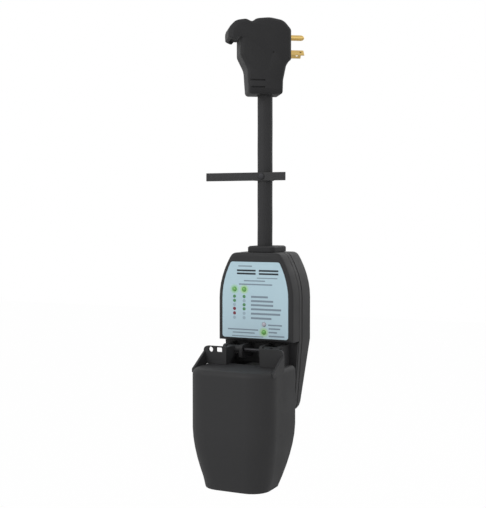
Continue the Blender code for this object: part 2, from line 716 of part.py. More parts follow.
def make_rear_shell(frame, case):
    outline = housing_outline(0)
    step_right = 5
    step_left = len(outline) - 6
    loops = [[(u, RIM, v) for u, v in outline]]
    for inset, depth in rounded_edge(EDGE_RADIUS):
        loops.append(rear_loop(inset, EDGE_RADIUS - depth))
    shell = piece("rear_shell", loft(loops, (step_right, step_left)), case, frame)
    inner = [[(u, -THROUGH, v) for u, v in housing_outline(SHELL_WALL)], rear_loop(SHELL_WALL, SHELL_WALL)]
    cut(shell, loft(inner, (step_right, step_left)))
    for side in (-1, 1):
        for x, height, _ in screw_places():
            spot = (side * x, height)
            seat = back_at(height) - SCREW_SINK - SCREW_HEAD_HEIGHT
            end = back_at(height + HEAD_POST_RADIUS) - SHELL_WALL + EMBED / 2
            join(shell, rod("Y", spot, HEAD_POST_RADIUS, RIM, end, FACES_SMALL))
            cut(shell, rod("Y", spot, SCREW_RADIUS + FIT_GAP, -THROUGH, BACK + THROUGH, FACES_SMALL))
            cut(shell, rod("Y", spot, SCREW_HEAD_RADIUS + FIT_GAP, seat, BACK + THROUGH, FACES_ROUND))
        spot = (side * CLAMP_SCREW_SPREAD, (CLAMP_TOP + CLAMP_BOTTOM) / 2)
        end = -CORD_RADIUS
        join(shell, rod("Y", spot, POST_RADIUS, end, BACK - SHELL_WALL + EMBED, FACES_SMALL))
        cut(shell, rod("Y", spot, SCREW_RADIUS + FIT_GAP, end - THROUGH, end + SCREW_BITE, FACES_SMALL))
    cut(shell, gland_hole())


def make_seal(frame, rubber):
    half = SEAL_THICKNESS / 2
    seal = piece("shell_gasket", prism("Y", housing_outline(SEAL_INSET), -half, half), rubber, frame)
    cut(seal, prism("Y", housing_outline(SEAL_INSET + SEAL_WIDTH), -half - THROUGH, half + THROUGH))
    cut(seal, gland_hole())


def screw_body(spot, seat, tip, radius, head_radius, head_height, forward):
    """A pan-head screw along Y with its head behind (forward -1) or in front (forward 1)."""
    head = seat - forward * head_height
    crown = seat - forward * head_height * 0.6
    rings = [
        (tip, radius * 0.5),
        (tip - forward * radius, radius),
        (seat, radius),
        (seat, head_radius),
        (crown, head_radius),
        (head, head_radius * 0.75),
    ]
    return stack("Y", spot, rings, FACES_SMALL)


def make_screw(name, spot, seat, tip, steel, frame, forward, sizes=None):
    radius, head_radius, head_height = sizes or (SCREW_RADIUS, SCREW_HEAD_RADIUS, SCREW_HEAD_HEIGHT)
    made = piece(name, screw_body(spot, seat, tip, radius, head_radius, head_height, forward), steel, frame)
    drive = seat - forward * head_height
    ends = sorted((drive - forward * THROUGH, drive + forward * head_height * 0.5))
    cut(made, rod("Y", spot, head_radius * 0.4, ends[0], ends[1], 6))


def make_housing_screws(frame, steel):
    names = ("upper", "middle", "lower")
    for word, (x, height, tip) in zip(names, screw_places()):
        for side, hand in ((-1, "left"), (1, "right")):
            seat = back_at(height) - SCREW_SINK - SCREW_HEAD_HEIGHT + FIT_GAP
            point = max(tip, -SCREW_BITE)
            make_screw(f"housing_screw_{word}_{hand}", (side * x, height), seat, point, steel, frame, -1)


def make_label(frame, vinyl):
    front = FRONT - LABEL_PROUD
    label = piece("label_panel", prism("Y", label_outline(0), front, front + LABEL_THICKNESS), vinyl, frame)
    for spot in LAMPS.values():
        cut(label, rod("Y", spot, LAMP_RADIUS + FIT_GAP, front - THROUGH, FRONT + THROUGH, FACES_SMALL))


def make_lamps(frame, lens):
    collar = FRONT + SHELL_WALL + FIT_GAP
    tip = FRONT - LABEL_PROUD - LAMP_PROUD
    rings = [
        (BOARD_FRONT - FIT_GAP, LAMP_RADIUS),
        (collar + LAMP_COLLAR, LAMP_RADIUS),
        (collar + LAMP_COLLAR, LAMP_RADIUS + LAMP_COLLAR),
        (collar, LAMP_RADIUS + LAMP_COLLAR),
        (collar, LAMP_RADIUS),
        (tip + LAMP_PROUD * 0.6, LAMP_RADIUS),
        (tip, LAMP_RADIUS * 0.55),
    ]
    for name, spot in LAMPS.items():
        piece(name, stack("Y", spot, rings, FACES_SMALL), lens, frame)


def make_board(frame, laminate, ceramic, fuse_shell, block_plastic, steel):
    low = (-BOARD_HALF_WIDTH, BOARD_FRONT, BOARD_BOTTOM)
    high = (BOARD_HALF_WIDTH, BOARD_BACK, BOARD_TOP)
    board = piece("circuit_board", block(low, high), laminate, frame)
    sizes = (BOARD_SCREW_RADIUS, BOARD_SCREW_HEAD_RADIUS, BOARD_SCREW_HEAD)
    seat = BOARD_BACK + FIT_GAP
    tip = BOARD_BACK - BOARD_SCREW_LENGTH
    for word, height in (("top", BOARD_TOP - BOARD_POST_INSET), ("bottom", BOARD_BOTTOM + BOARD_POST_INSET)):
        for side, hand in ((-1, "left"), (1, "right")):
            spot = (side * (BOARD_HALF_WIDTH - BOARD_POST_INSET), height)
            hole = BOARD_SCREW_RADIUS + FIT_GAP
            cut(board, rod("Y", spot, hole, BOARD_FRONT - THROUGH, BOARD_BACK + THROUGH, FACES_SMALL))
            make_screw(f"board_screw_{word}_{hand}", spot, seat, tip, steel, frame, -1, sizes)

    for place, name in ((-1, "line_to_neutral"), (0, "line_to_earth"), (1, "neutral_to_earth")):
        x = place * COMPONENT_PITCH
        half = VARISTOR_THICKNESS / 2
        rim = VARISTOR_RADIUS - 0.001
        face = half - 0.001
        rings = [(x - half, rim), (x - face, VARISTOR_RADIUS), (x + face, VARISTOR_RADIUS), (x + half, rim)]
        centre = (BOARD_BACK + FIT_GAP + VARISTOR_RADIUS, VARISTOR_HEIGHT)
        piece(f"varistor_{name}", stack("X", centre, rings), ceramic, frame)
        spot = (x, BOARD_BACK + FIT_GAP + FUSE_RADIUS)
        fuse = rod("Z", spot, FUSE_RADIUS, FUSE_TOP - FUSE_LENGTH, FUSE_TOP, FACES_SMALL)
        piece(f"thermal_fuse_{name}", fuse, fuse_shell, frame)

    near = BOARD_BACK + FIT_GAP
    body = block((-BLOCK_WIDTH / 2, near, BLOCK_BOTTOM), (BLOCK_WIDTH / 2, near + BLOCK_DEPTH, BLOCK_TOP))
    terminals = piece("terminal_block", body, block_plastic, frame)
    for place in (-1, 0, 1):
        spot = (place * BLOCK_WIDTH / 3.2, near + BLOCK_DEPTH / 2)
        depth = BLOCK_TOP - BLOCK_WIRE_DEPTH
        cut(terminals, rod("Z", spot, BLOCK_WIRE_RADIUS, depth, BLOCK_TOP + THROUGH, FACES_SMALL))


def make_clamp(frame, case, steel):
    inner = -CORD_RADIUS - FIT_GAP
    front = inner - CLAMP_THICKNESS
    low, high = (-CLAMP_HALF_WIDTH, front, CLAMP_BOTTOM), (CLAMP_HALF_WIDTH, inner, CLAMP_TOP)
    bar = piece("cord_clamp", block(low, high), case, frame)
    for side, hand in ((-1, "left"), (1, "right")):
        spot = (side * CLAMP_SCREW_SPREAD, (CLAMP_TOP + CLAMP_BOTTOM) / 2)
        cut(bar, rod("Y", spot, SCREW_RADIUS + FIT_GAP, front - THROUGH, THROUGH, FACES_SMALL))
        tip = -CORD_RADIUS + SCREW_BITE - FIT_GAP
        make_screw(f"clamp_screw_{hand}", spot, front - FIT_GAP, tip, steel, frame, 1)


def contact_places():
    """Each outlet contact's place: the two blade slots, and the earth hole above them."""
    return {
        "line": (-BLADE_SPREAD, OUTLET_HEIGHT + BLADE_DROP, -1),
        "neutral": (BLADE_SPREAD, OUTLET_HEIGHT + BLADE_DROP, 1),
        "earth": (0.0, OUTLET_HEIGHT + EARTH_RISE, 0),
    }


def slot_cutter(x, height, side, low, high):
    """The way in for one blade, or for the earth pin where side is 0."""
    if side == 0:
        return rod("Y", (x, height), EARTH_RADIUS + FIT_GAP, low, high, FACES_SMALL)
    bar = block((-SLOT_THICKNESS / 2, low, -SLOT_WIDTH / 2), (SLOT_THICKNESS / 2, high, SLOT_WIDTH / 2))
    turn = Matrix.Rotation(side * BLADE_TILT, 4, "Y")
    return moved(bar, Matrix.Translation((x, 0, height)) @ turn)


def make_outlet(frame, outlet_plastic, rubber, brass, steel):
    seal_back = LOWER_FRONT - FIT_GAP
    seal_front = seal_back - OUTLET_SEAL
    seat = seal_front - FIT_GAP
    front = seat - FLANGE_THICKNESS
    low, high = OUTLET_HEIGHT - FLANGE_HALF_HEIGHT, OUTLET_HEIGHT + FLANGE_HALF_HEIGHT
    plate = rounded_box(FLANGE_HALF_WIDTH, low, high, FLANGE_HALF_HEIGHT * 0.95, 6)
    middle = (0, OUTLET_HEIGHT)
    outlet = piece("outlet_body", prism("Y", plate, front, seat), outlet_plastic, frame)
    join(outlet, rod("Y", middle, OUTLET_RADIUS, seat - EMBED, OUTLET_BACK, 32))
    gasket = piece("outlet_gasket", prism("Y", plate, seal_front, seal_back), rubber, frame)
    cut(gasket, rod("Y", middle, OUTLET_RADIUS + FIT_GAP, seal_front - THROUGH, THROUGH, 32))
    for side, hand in ((-1, "left"), (1, "right")):
        spot = (side * OUTLET_SCREW_SPREAD, OUTLET_HEIGHT)
        cut(outlet, rod("Y", spot, SCREW_RADIUS + FIT_GAP, front - THROUGH, seat + THROUGH, FACES_SMALL))
        cut(gasket, rod("Y", spot, SCREW_RADIUS + FIT_GAP, seal_front - THROUGH, THROUGH, FACES_SMALL))
        tip = front + OUTLET_SCREW_LENGTH
        make_screw(f"outlet_screw_{hand}", spot, front - FIT_GAP, tip, steel, frame, 1)
    for name, (x, height, side) in contact_places().items():
        pocket = CONTACT_FRONT - FIT_GAP
        cut(outlet, slot_cutter(x, height, side, front - THROUGH, pocket + EMBED))
        cut(outlet, rod("Y", (x, height), CONTACT_RADIUS + FIT_GAP, pocket, OUTLET_BACK + THROUGH))
        barrel = rod("Y", (x, height), CONTACT_RADIUS, CONTACT_FRONT, OUTLET_BACK)
        contact = piece(f"{name}_contact", barrel, brass, frame)
        half, thick = TAIL_WIDTH / 2, TAIL_THICKNESS / 2
        near = (x - half, OUTLET_BACK - EMBED, height - thick)
        far = (x + half, OUTLET_BACK + TAIL_LENGTH, height + thick)
        join(contact, block(near, far))
        cut(contact, slot_cutter(x, height, side, CONTACT_FRONT - THROUGH, CONTACT_FRONT + CONTACT_SLOT_DEPTH))


def eased(share):
    """A share that starts and stops gently, and stays at 1 once it is done."""
    share = min(1.0, share)
    return share * share * (3 - 2 * share)


def make_leads(frame, wires):
    tail_y = OUTLET_BACK + TAIL_LENGTH - LEAD_DIAMETER / 2
    spots = contact_places()
    start = CORD_END - FIT_GAP
    for name, turn in (("line", 210), ("neutral", 330), ("earth", 90)):
        angle = math.radians(turn)
        x, height, _ = spots[name]
        top = Vector((LEAD_RING * math.cos(angle), LEAD_RING * math.sin(angle), start))
        end = Vector((x, tail_y, height + TAIL_THICKNESS / 2 + FIT_GAP))
        curve = bpy.data.curves.new(f"{name}_lead", "CURVE")
        curve.dimensions = "3D"
        curve.bevel_depth = LEAD_DIAMETER / 2
        curve.bevel_resolution = 2
        curve.use_fill_caps = True
        spline = curve.splines.new("POLY")
        spline.points.add(LEAD_STEPS)
        for i in range(LEAD_STEPS + 1):
            share = i / LEAD_STEPS
            bent = max(0.0, share - 1 / LEAD_STEPS)
            across = eased(bent / LEAD_SPREAD_SHARE)
            backward = eased(bent / LEAD_BACK_SHARE)
            spline.points[i].co = (
                top.x + (end.x - top.x) * across,
                top.y + (end.y - top.y) * backward,
                top.z + (end.z - top.z) * share,
                1,
            )
        curve.materials.append(wires[name])
        lead = bpy.data.objects.new(f"{name}_lead", curve)
        bpy.context.collection.objects.link(lead)
        lead.parent = frame


def hood_plan(half, front, radius, rear):
    """The hood seen from above: square at the rear, round at the two front corners."""
    corners = [(half, rear, 0), (half, -front, radius), (-half, -front, radius), (-half, rear, 0)]
    return rounded(corners, 6)


def taper_at(height):
    """How far the hood has drawn in at a height, from 0 to 1 at its lower edge."""
    share = max(0.0, (TAPER_START - height) / (TAPER_START - HOOD_BOTTOM))
    return share**1.7


def hood_loop(height, inset, rear):
    """The hood's outline at a height, drawn in by an inset."""
    taper = taper_at(height)
    half = HOOD_HALF - TAPER_SIDE * taper - inset
    front = -FRONT + HOOD_REACH - TAPER_FRONT * taper - inset
    plan = hood_plan(half, front, HOOD_RADIUS - inset, rear - TAPER_REAR * taper)
    return [(u, v, height) for u, v in plan]


def hood_heights(top):
    """Heights of the hood's loops from a top down to the lower edge."""
    steps = 6
    return [top] + [TAPER_START + (HOOD_BOTTOM - TAPER_START) * i / steps for i in range(steps + 1)]


def make_hood(frame, case):
    pivot = bpy.data.objects.new("hood_hinge", None)
    bpy.context.collection.objects.link(pivot)
    pivot.parent = frame
    pivot.location = (0, *PIN)

    rear = FRONT + HOOD_WRAP
    turned = rounded_edge(ROOF_EDGE_RADIUS)[::-1]
    loops = [hood_loop(HOOD_TOP - ROOF_EDGE_RADIUS + depth, inset, rear) for inset, depth in turned]
    loops += [hood_loop(height, 0, rear) for height in hood_heights(HOOD_TOP - 2 * ROOF_EDGE_RADIUS)]
    ceiling = HOOD_TOP - HOOD_ROOF
    heights = hood_heights(ceiling - ROOF_EDGE_RADIUS)
    inner = [hood_loop(ceiling, HOOD_WALL + ROOF_EDGE_RADIUS / 2, rear + 2 * SET_BACK)]
    inner += [hood_loop(height, HOOD_WALL, rear + 2 * SET_BACK) for height in heights]
    floor = hood_loop(HOOD_BOTTOM, HOOD_WALL, rear + 2 * SET_BACK)
    inner += [[(u, v, HOOD_BOTTOM - THROUGH) for u, v, _ in floor]]

    to_pivot = Matrix.Translation((0, -PIN_FORWARD, -PIN_HEIGHT))
    hood = piece("rain_hood", moved(loft(loops), to_pivot), case, pivot)

    def add(*bodies):
        join(hood, *[moved(body, to_pivot) for body in bodies])

    def remove(*bodies):
        cut(hood, *[moved(body, to_pivot) for body in bodies])

    remove(loft(inner))
    arc = [math.pi * i / 24 for i in range(25)]
    edge = [(OPENING_HALF_WIDTH * math.cos(a), FRONT - OPENING_DEPTH * math.sin(a)) for a in arc]
    behind = [(-OPENING_HALF_WIDTH, FRONT + 2 * SET_BACK), (OPENING_HALF_WIDTH, FRONT + 2 * SET_BACK)]
    remove(prism("Z", edge + behind, ceiling - ROOF_EDGE_RADIUS, HOOD_TOP + THROUGH))

    outer = HOOD_HALF - MOULD_STEP
    start = EAR_FORWARD - EAR_THICKNESS / 2 - FIT_GAP
    foot = HOOD_TOP - HOOD_ROOF - ROOF_EDGE_RADIUS / 2
    for side in (-1, 1):
        gusset = [(start, GUSSET_TOP), (start, foot), (GUSSET_FORWARD, foot), (GUSSET_FORWARD, HOOD_TOP - 0.002)]
        walls = sorted((side * (outer - HOOD_WALL), side * outer))
        add(prism("X", gusset, walls[0], walls[1]))
        spot = (side * PEG_PLACE, EAR_FORWARD)
        remove(rod("Z", spot, PEG_RADIUS + FIT_GAP, ceiling - THROUGH, HOOD_TOP + THROUGH, FACES_SMALL))
    make_lugs(pivot, case, to_pivot)


def ear_outline(side):
    """An upright ear seen from the front, its foot following the roof's round edge."""
    reach = ROOF_EDGE_RADIUS + FIT_GAP
    inset = HOOD_HALF - ROOF_EDGE_RADIUS
    rest = HOOD_TOP - ROOF_EDGE_RADIUS
    edge = [math.radians(turn) for turn in (90, 60, 30)]
    foot = [(inset + reach * math.cos(a), rest + reach * math.sin(a), 0) for a in edge]
    corners = [(EAR_INNER, HOOD_TOP + FIT_GAP, 0)] + foot
    corners += [(foot[-1][0], EAR_TOP, EAR_CORNER), (EAR_INNER, EAR_TOP, EAR_CORNER / 2)]
    return rounded([(side * u, v, radius) for u, v, radius in corners])


def make_lugs(pivot, case, to_pivot):
    """The hood's two hinge lugs: an ear, an arm back to the pin, and a barrel. The left ear takes the lock."""
    foot = HOOD_TOP + 2 * FIT_GAP
    web = [
        (EAR_FORWARD, EAR_TOP - EMBED),
        (PIN_FORWARD, PIN_HEIGHT + BARREL_RADIUS * 0.9),
        (PIN_FORWARD + BARREL_RADIUS * 0.6, PIN_HEIGHT),
        (PIN_FORWARD, PIN_HEIGHT - BARREL_RADIUS * 0.9),
        (EAR_FORWARD + ARM_FOOT, foot),
        (EAR_FORWARD, foot),
    ]
    inner_rib = RIB_PLACES[0] + RIB_WIDTH / 2 + BARREL_END_GAP
    outer_rib = RIB_PLACES[1] - RIB_WIDTH / 2 - BARREL_END_GAP
    for side, hand in ((-1, "left"), (1, "right")):
        ear = prism("Y", ear_outline(side), EAR_FORWARD - EAR_THICKNESS / 2, EAR_FORWARD + EAR_THICKNESS / 2)
        lug = piece(f"hinge_lug_{hand}", moved(ear, to_pivot), case, pivot)
        arms = sorted((side * (EAR_INNER + MOULD_STEP), side * (EAR_INNER + ARM_WIDTH)))
        ends = sorted((side * inner_rib, side * outer_rib))
        spot = (side * PEG_PLACE, EAR_FORWARD)
        added = [
            prism("X", web, arms[0], arms[1]),
            rod("X", PIN, BARREL_RADIUS, ends[0], ends[1]),
            rod("Z", spot, PEG_RADIUS, HOOD_TOP - HOOD_ROOF, HOOD_TOP + EMBED, FACES_SMALL),
        ]
        removed = [rod("X", PIN, PIN_RADIUS + FIT_GAP, -BODY_WIDTH, BODY_WIDTH)]
        if side < 0:
            removed += lock_openings()
        join(lug, *[moved(body, to_pivot) for body in added])
        cut(lug, *[moved(body, to_pivot) for body in removed])


def lock_openings():
    """The round hole and the slot that a padlock or cable passes through."""
    near, far = EAR_FORWARD - EAR_THICKNESS, EAR_FORWARD + EAR_THICKNESS
    half, rise = LOCK_SLOT_LENGTH / 2, LOCK_SLOT_HEIGHT / 2
    x, height = LOCK_SLOT
    signs = ((-1, -1), (1, -1), (1, 1), (-1, 1))
    slot = rounded([(x + a * half, height + b * rise, 0.001) for a, b in signs])
    return [rod("Y", LOCK_HOLE, LOCK_HOLE_RADIUS, near, far), prism("Y", slot, near, far)]


def make_hinge_pin(frame, steel):
    face = RIB_PLACES[1] + RIB_WIDTH / 2 + FIT_GAP
    end = face + CLIP_THICKNESS + PIN_TAIL
    rings = [
        (-end, PIN_RADIUS),
        (face, PIN_RADIUS),
        (face, PIN_HEAD_RADIUS),
        (face + PIN_HEAD * 0.5, PIN_HEAD_RADIUS),
        (face + PIN_HEAD, PIN_HEAD_RADIUS * 0.6),
    ]
    piece("hinge_pin", stack("X", PIN, rings), steel, frame)
    clip = piece("pin_clip", rod("X", PIN, PIN_HEAD_RADIUS, -face - CLIP_THICKNESS, -face), steel, frame)
    cut(clip, rod("X", PIN, PIN_RADIUS + FIT_GAP, -face - 2 * CLIP_THICKNESS, THROUGH))


def main():
    for old in list(bpy.data.objects):
        bpy.data.objects.remove(old, do_unlink=True)

    plug_frame = bpy.data.objects.new("plug_frame", None)
    bpy.context.collection.objects.link(plug_frame)
    plug_frame.rotation_euler = (0, 0, PLUG_TURN)
    hanging = bpy.data.objects.new("hanging_frame", None)
    bpy.context.collection.objects.link(hanging)
    hanging.location = (-CORD_REACH * math.cos(PLUG_TURN), -CORD_REACH * math.sin(PLUG_TURN), 0)

    case = finish("case_plastic", (0.040, 0.040, 0.042), 0.55)
    soft = finish("plug_vinyl", (0.034, 0.034, 0.035), 0.6)
    face = finish("face_plastic", (0.022, 0.022, 0.024), 0.5)
    jacket = finish("cord_jacket", (0.038, 0.038, 0.040), 0.6)
    webbing = finish("strap_webbing", (0.055, 0.055, 0.056), 0.9)
    rubber = finish("seal_rubber", (0.018, 0.018, 0.019), 0.8)
    brass = finish("brass", (0.72, 0.53, 0.22), 0.3, 1.0)
    steel = finish("steel", (0.55, 0.55, 0.56), 0.35, 1.0)
    vinyl = finish("label_vinyl", (0.43, 0.57, 0.66), 0.35)
    lens = finish("lamp_lens", (0.20, 0.60, 0.28), 0.2)
    laminate = finish("board_laminate", (0.03, 0.16, 0.07), 0.5)
    ceramic = finish("varistor_ceramic", (0.05, 0.14, 0.38), 0.6)
    fuse_shell = finish("fuse_shell", (0.62, 0.60, 0.55), 0.4, 0.8)
    block_plastic = finish("block_plastic", (0.10, 0.28, 0.14), 0.5)
    wires = {
        "line": finish("wire_black", (0.02, 0.02, 0.02), 0.5),
        "neutral": finish("wire_white", (0.75, 0.75, 0.73), 0.5),
        "earth": finish("wire_green", (0.05, 0.28, 0.09), 0.5),
    }

    make_plug(plug_frame, soft, face, brass)
    make_cord(hanging, jacket)
    make_strap(hanging, webbing, steel)
    make_gland(hanging, rubber)
    make_front_shell(hanging, case)
    make_bracket(hanging, case, steel)
    make_rear_shell(hanging, case)
    make_seal(hanging, rubber)
    make_housing_screws(hanging, steel)
    make_label(hanging, vinyl)
    make_lamps(hanging, lens)
    make_board(hanging, laminate, ceramic, fuse_shell, block_plastic, steel)
    make_clamp(hanging, case, steel)
    make_outlet(hanging, face, rubber, brass, steel)
    make_leads(hanging, wires)
    make_hood(hanging, case)
    make_hinge_pin(hanging, steel)


main()
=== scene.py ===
# %% [markdown]
# # A portable surge protector
# A right-angle plug, a short thick cord and a hanging box with a status label and a hinged rain hood.
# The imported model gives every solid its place. Here each solid gets the surface that the real piece has,
# and pieces that need more than a solid can show are made again: the cord, the plug's moulded grip,
# the woven strap, the lamp lenses, the label's print and the screws.

# %% Load the model
import math

import bmesh
import bpy
from mathutils import Matrix, Vector


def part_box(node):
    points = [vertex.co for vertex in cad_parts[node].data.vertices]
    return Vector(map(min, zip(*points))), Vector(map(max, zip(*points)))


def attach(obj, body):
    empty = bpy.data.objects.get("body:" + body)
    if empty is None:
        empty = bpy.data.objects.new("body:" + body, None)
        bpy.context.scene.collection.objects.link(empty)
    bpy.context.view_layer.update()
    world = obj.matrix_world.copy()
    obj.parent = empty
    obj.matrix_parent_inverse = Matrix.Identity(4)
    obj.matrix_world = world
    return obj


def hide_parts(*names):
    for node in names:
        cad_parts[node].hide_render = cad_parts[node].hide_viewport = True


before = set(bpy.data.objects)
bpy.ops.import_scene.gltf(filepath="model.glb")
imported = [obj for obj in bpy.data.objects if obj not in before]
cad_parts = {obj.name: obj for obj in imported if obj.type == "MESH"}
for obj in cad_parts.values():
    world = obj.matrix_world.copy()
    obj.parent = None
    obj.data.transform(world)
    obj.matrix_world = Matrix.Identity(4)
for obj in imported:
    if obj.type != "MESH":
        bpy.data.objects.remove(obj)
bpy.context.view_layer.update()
scene = bpy.context.scene
scene.view_settings.view_transform = "Standard"
MM = 0.001

# %% [markdown]
# Two frames repeat through the model. The box and its cord hang straight down, so their frame is only moved.
# The plug stands in an outlet that is turned from the label, so its frame is turned about the upright.
# A colour is written as the hex value that a paint chart gives, and one function turns it to linear light.
# One more small function adds a node to a tree, sets it up and links it.

# %% Frames, colours and nodes
PLUG_TURN = math.radians(33)
CORD_REACH = 27.5 * MM
HANG = Vector((-CORD_REACH * math.cos(PLUG_TURN), -CORD_REACH * math.sin(PLUG_TURN), 0.0))
HANGING = Matrix.Translation(HANG)
PLUGGED = Matrix.Rotation(PLUG_TURN, 4, "Z")


def linear(hex_value):
    """A hex sRGB colour as linear red, green, blue and alpha."""
    parts = [int(hex_value[i : i + 2], 16) / 255 for i in (1, 3, 5)]
    return (*[c / 12.92 if c <= 0.04045 else ((c + 0.055) / 1.055) ** 2.4 for c in parts], 1.0)


def add(tree, kind, sockets=None, **settings):
    """Adds one node. Settings are its own properties; sockets are values or links for its inputs."""
    made = tree.nodes.new(kind)
    for key, value in settings.items():
        setattr(made, key, value)
    for key, value in (sockets or {}).items():
        if isinstance(value, bpy.types.NodeSocket):
            tree.links.new(value, made.inputs[key])
        else:
            made.inputs[key].default_value = value
    return made


print("case colour in linear light:", [round(c, 4) for c in linear("#3a3a3a")[:3]])

# %% [markdown]
# The picture was taken from the right of the label, level with the middle of the cord. A long lens from a
# little over a metre keeps the box's sides almost parallel. The camera turns a little to put the object
# where it stands in the picture.

# %% Camera
CAMERA_TURN = math.radians(24)
CAMERA_DISTANCE = 1.160
CAMERA_HEIGHT = -0.196
AIM_LEFT = 25.5 * MM
AIM_HEIGHT = -0.2435
across = Vector((math.cos(CAMERA_TURN), math.sin(CAMERA_TURN), 0.0))
outward = Vector((math.sin(CAMERA_TURN), -math.cos(CAMERA_TURN), 0.0))
camera_data = bpy.data.cameras.new("camera")
camera_data.sensor_fit = "HORIZONTAL"
camera_data.sensor_width = 36.0
camera_data.lens = 1000 * 36.0 / 486
camera = bpy.data.objects.new("camera", camera_data)
scene.collection.objects.link(camera)
camera.location = HANG + outward * CAMERA_DISTANCE + Vector((0, 0, CAMERA_HEIGHT))
aim = HANG - across * AIM_LEFT + Vector((0, 0, AIM_HEIGHT))
camera.rotation_euler = (aim - camera.location).to_track_quat("-Z", "Y").to_euler()
scene.camera = camera
print("camera at", [round(c, 3) for c in camera.location])

# %% [markdown]
# Everything is built from closed loops of points, so three helpers come first: one turns a list of loops
# into a closed body, one rounds the corners of an outline, and one makes an object whose place is in its
# mesh. Loops give full control over where a moulded form narrows, which a stock primitive can't.

# %% Loops, outlines and pieces
def lofted(loops, capped=True):
    """A body through loops of points, with its two ends closed."""
    body = bmesh.new()
    rings = [[body.verts.new(point) for point in loop] for loop in loops]
    for low, high in zip(rings, rings[1:]):
        for i in range(len(low)):
            j = (i + 1) % len(low)
            body.faces.new((low[i], low[j], high[j], high[i]))
    if capped:
        body.faces.new(rings[0][::-1])
        body.faces.new(rings[-1])
    bmesh.ops.recalc_face_normals(body, faces=body.faces)
    return body


def rounded(corners, steps=8):
    """A closed outline through (u, v, radius) corners, each turned by an arc of its radius."""
    outline = []
    for i, (u, v, radius) in enumerate(corners):
        here = Vector((u, v))
        back = Vector(corners[i - 1][:2]) - here
        ahead = Vector(corners[(i + 1) % len(corners)][:2]) - here
        half_turn = back.angle(ahead) / 2
        reach = min(radius / math.tan(half_turn), 0.49 * back.length, 0.49 * ahead.length)
        radius = reach * math.tan(half_turn)
        centre = here + (back.normalized() + ahead.normalized()).normalized() * radius / math.sin(half_turn)
        start = here + back.normalized() * reach - centre
        end = here + ahead.normalized() * reach - centre
        first = math.atan2(start.y, start.x)
        sweep = (math.atan2(end.y, end.x) - first + math.pi) % (2 * math.pi) - math.pi
        for step in range(steps + 1):
            angle = first + sweep * step / steps
            outline.append((centre.x + radius * math.cos(angle), centre.y + radius * math.sin(angle)))
    return outline


def ring_at(radius, height, sides):
    """A level circle of points about the upright."""
    angles = [2 * math.pi * i / sides for i in range(sides)]
    return [(radius * math.cos(a), radius * math.sin(a), height) for a in angles]


def made_piece(name, body, place, material, sharp=35):
    """An object at the origin whose mesh is already in its place."""
    bmesh.ops.transform(body, matrix=place, verts=body.verts)
    mesh = bpy.data.meshes.new(name)
    body.to_mesh(mesh)
    body.free()
    mesh.materials.append(material)
    mesh.shade_smooth()
    mesh.set_sharp_from_angle(angle=math.radians(sharp))
    made = bpy.data.objects.new(name, mesh)
    scene.collection.objects.link(made)
    return made


def settled(made):
    """Turns an object's modifiers into plain mesh."""
    evaluated = made.evaluated_get(bpy.context.evaluated_depsgraph_get())
    mesh = bpy.data.meshes.new_from_object(evaluated)
    made.modifiers.clear()
    made.data = mesh
    return made


print("helpers ready")

# %% [markdown]
# The case, hood and hinge are one charcoal ABS, moulded in a spark-eroded tool that leaves a fine even
# grain. ABS reflects little and spreads what it reflects, so the grain is a shallow bump, and the roughness
# wanders slowly as handled plastic does. The real grain is about 0.3 mm; it is drawn at 0.9 mm, because
# anything finer is lost at this distance.

# %% Moulded plastics
def moulded(name, colour, shade, roughness, grain_mm, depth, specular):
    """A moulded plastic: two close colours in soft patches, a fine grain, and a roughness that wanders."""
    made = bpy.data.materials.new(name)
    made.use_nodes = True
    tree = made.node_tree
    shader = tree.nodes["Principled BSDF"]
    shader.inputs["Specular IOR Level"].default_value = specular
    shader.inputs["IOR"].default_value = 1.53
    where = add(tree, "ShaderNodeTexCoord").outputs["Object"]
    patches = add(tree, "ShaderNodeTexNoise", {"Vector": where, "Scale": 1 / (28 * MM), "Detail": 3.0})
    tint = add(tree, "ShaderNodeMix", {"Factor": patches.outputs["Fac"]}, data_type="RGBA")
    tint.inputs["A"].default_value = linear(shade)
    tint.inputs["B"].default_value = linear(colour)
    tree.links.new(tint.outputs["Result"], shader.inputs["Base Color"])
    spread = {"Value": patches.outputs["Fac"], "From Min": 0.3, "From Max": 0.7}
    worn = add(tree, "ShaderNodeMapRange", spread)
    worn.inputs["To Min"].default_value = roughness - 0.05
    worn.inputs["To Max"].default_value = roughness + 0.05
    tree.links.new(worn.outputs["Result"], shader.inputs["Roughness"])
    grain = add(tree, "ShaderNodeTexNoise", {"Vector": where, "Scale": 1 / (grain_mm * MM), "Detail": 2.0})
    height = {"Height": grain.outputs["Fac"], "Strength": depth, "Distance": 0.2 * MM}
    relief = add(tree, "ShaderNodeBump", height)
    tree.links.new(relief.outputs["Normal"], shader.inputs["Normal"])
    return made


case_abs = moulded("case_abs", "#303031", "#2c2c2d", 0.62, 0.9, 0.30, 0.22)
plug_vinyl = moulded("plug_vinyl", "#2b2b2c", "#272728", 0.66, 1.2, 0.22, 0.20)
cord_vinyl = moulded("cord_vinyl", "#303031", "#2d2d2e", 0.60, 1.6, 0.12, 0.20)
face_nylon = moulded("face_nylon", "#1f1f20", "#1a1a1b", 0.50, 0.8, 0.15, 0.30)
outlet_nylon = moulded("outlet_nylon", "#565857", "#4e504f", 0.50, 0.8, 0.15, 0.30)
seal_rubber = moulded("seal_rubber", "#1c1c1c", "#181818", 0.80, 0.7, 0.20, 0.15)
print("moulded finishes:", len(bpy.data.materials))

# %% [markdown]
# The cord comes first, because it joins the two halves of the object. It is a stiff three-core jacketed
# power cord, 17.5 mm thick, pulled straight by the box that hangs on it. The cores lie twisted under the
# jacket and lift it very slightly, so each ring of the tube is a circle with three faint swells that turn
# as they climb. The photograph shows it from end to end: from the gland on the box to the foot of the plug.

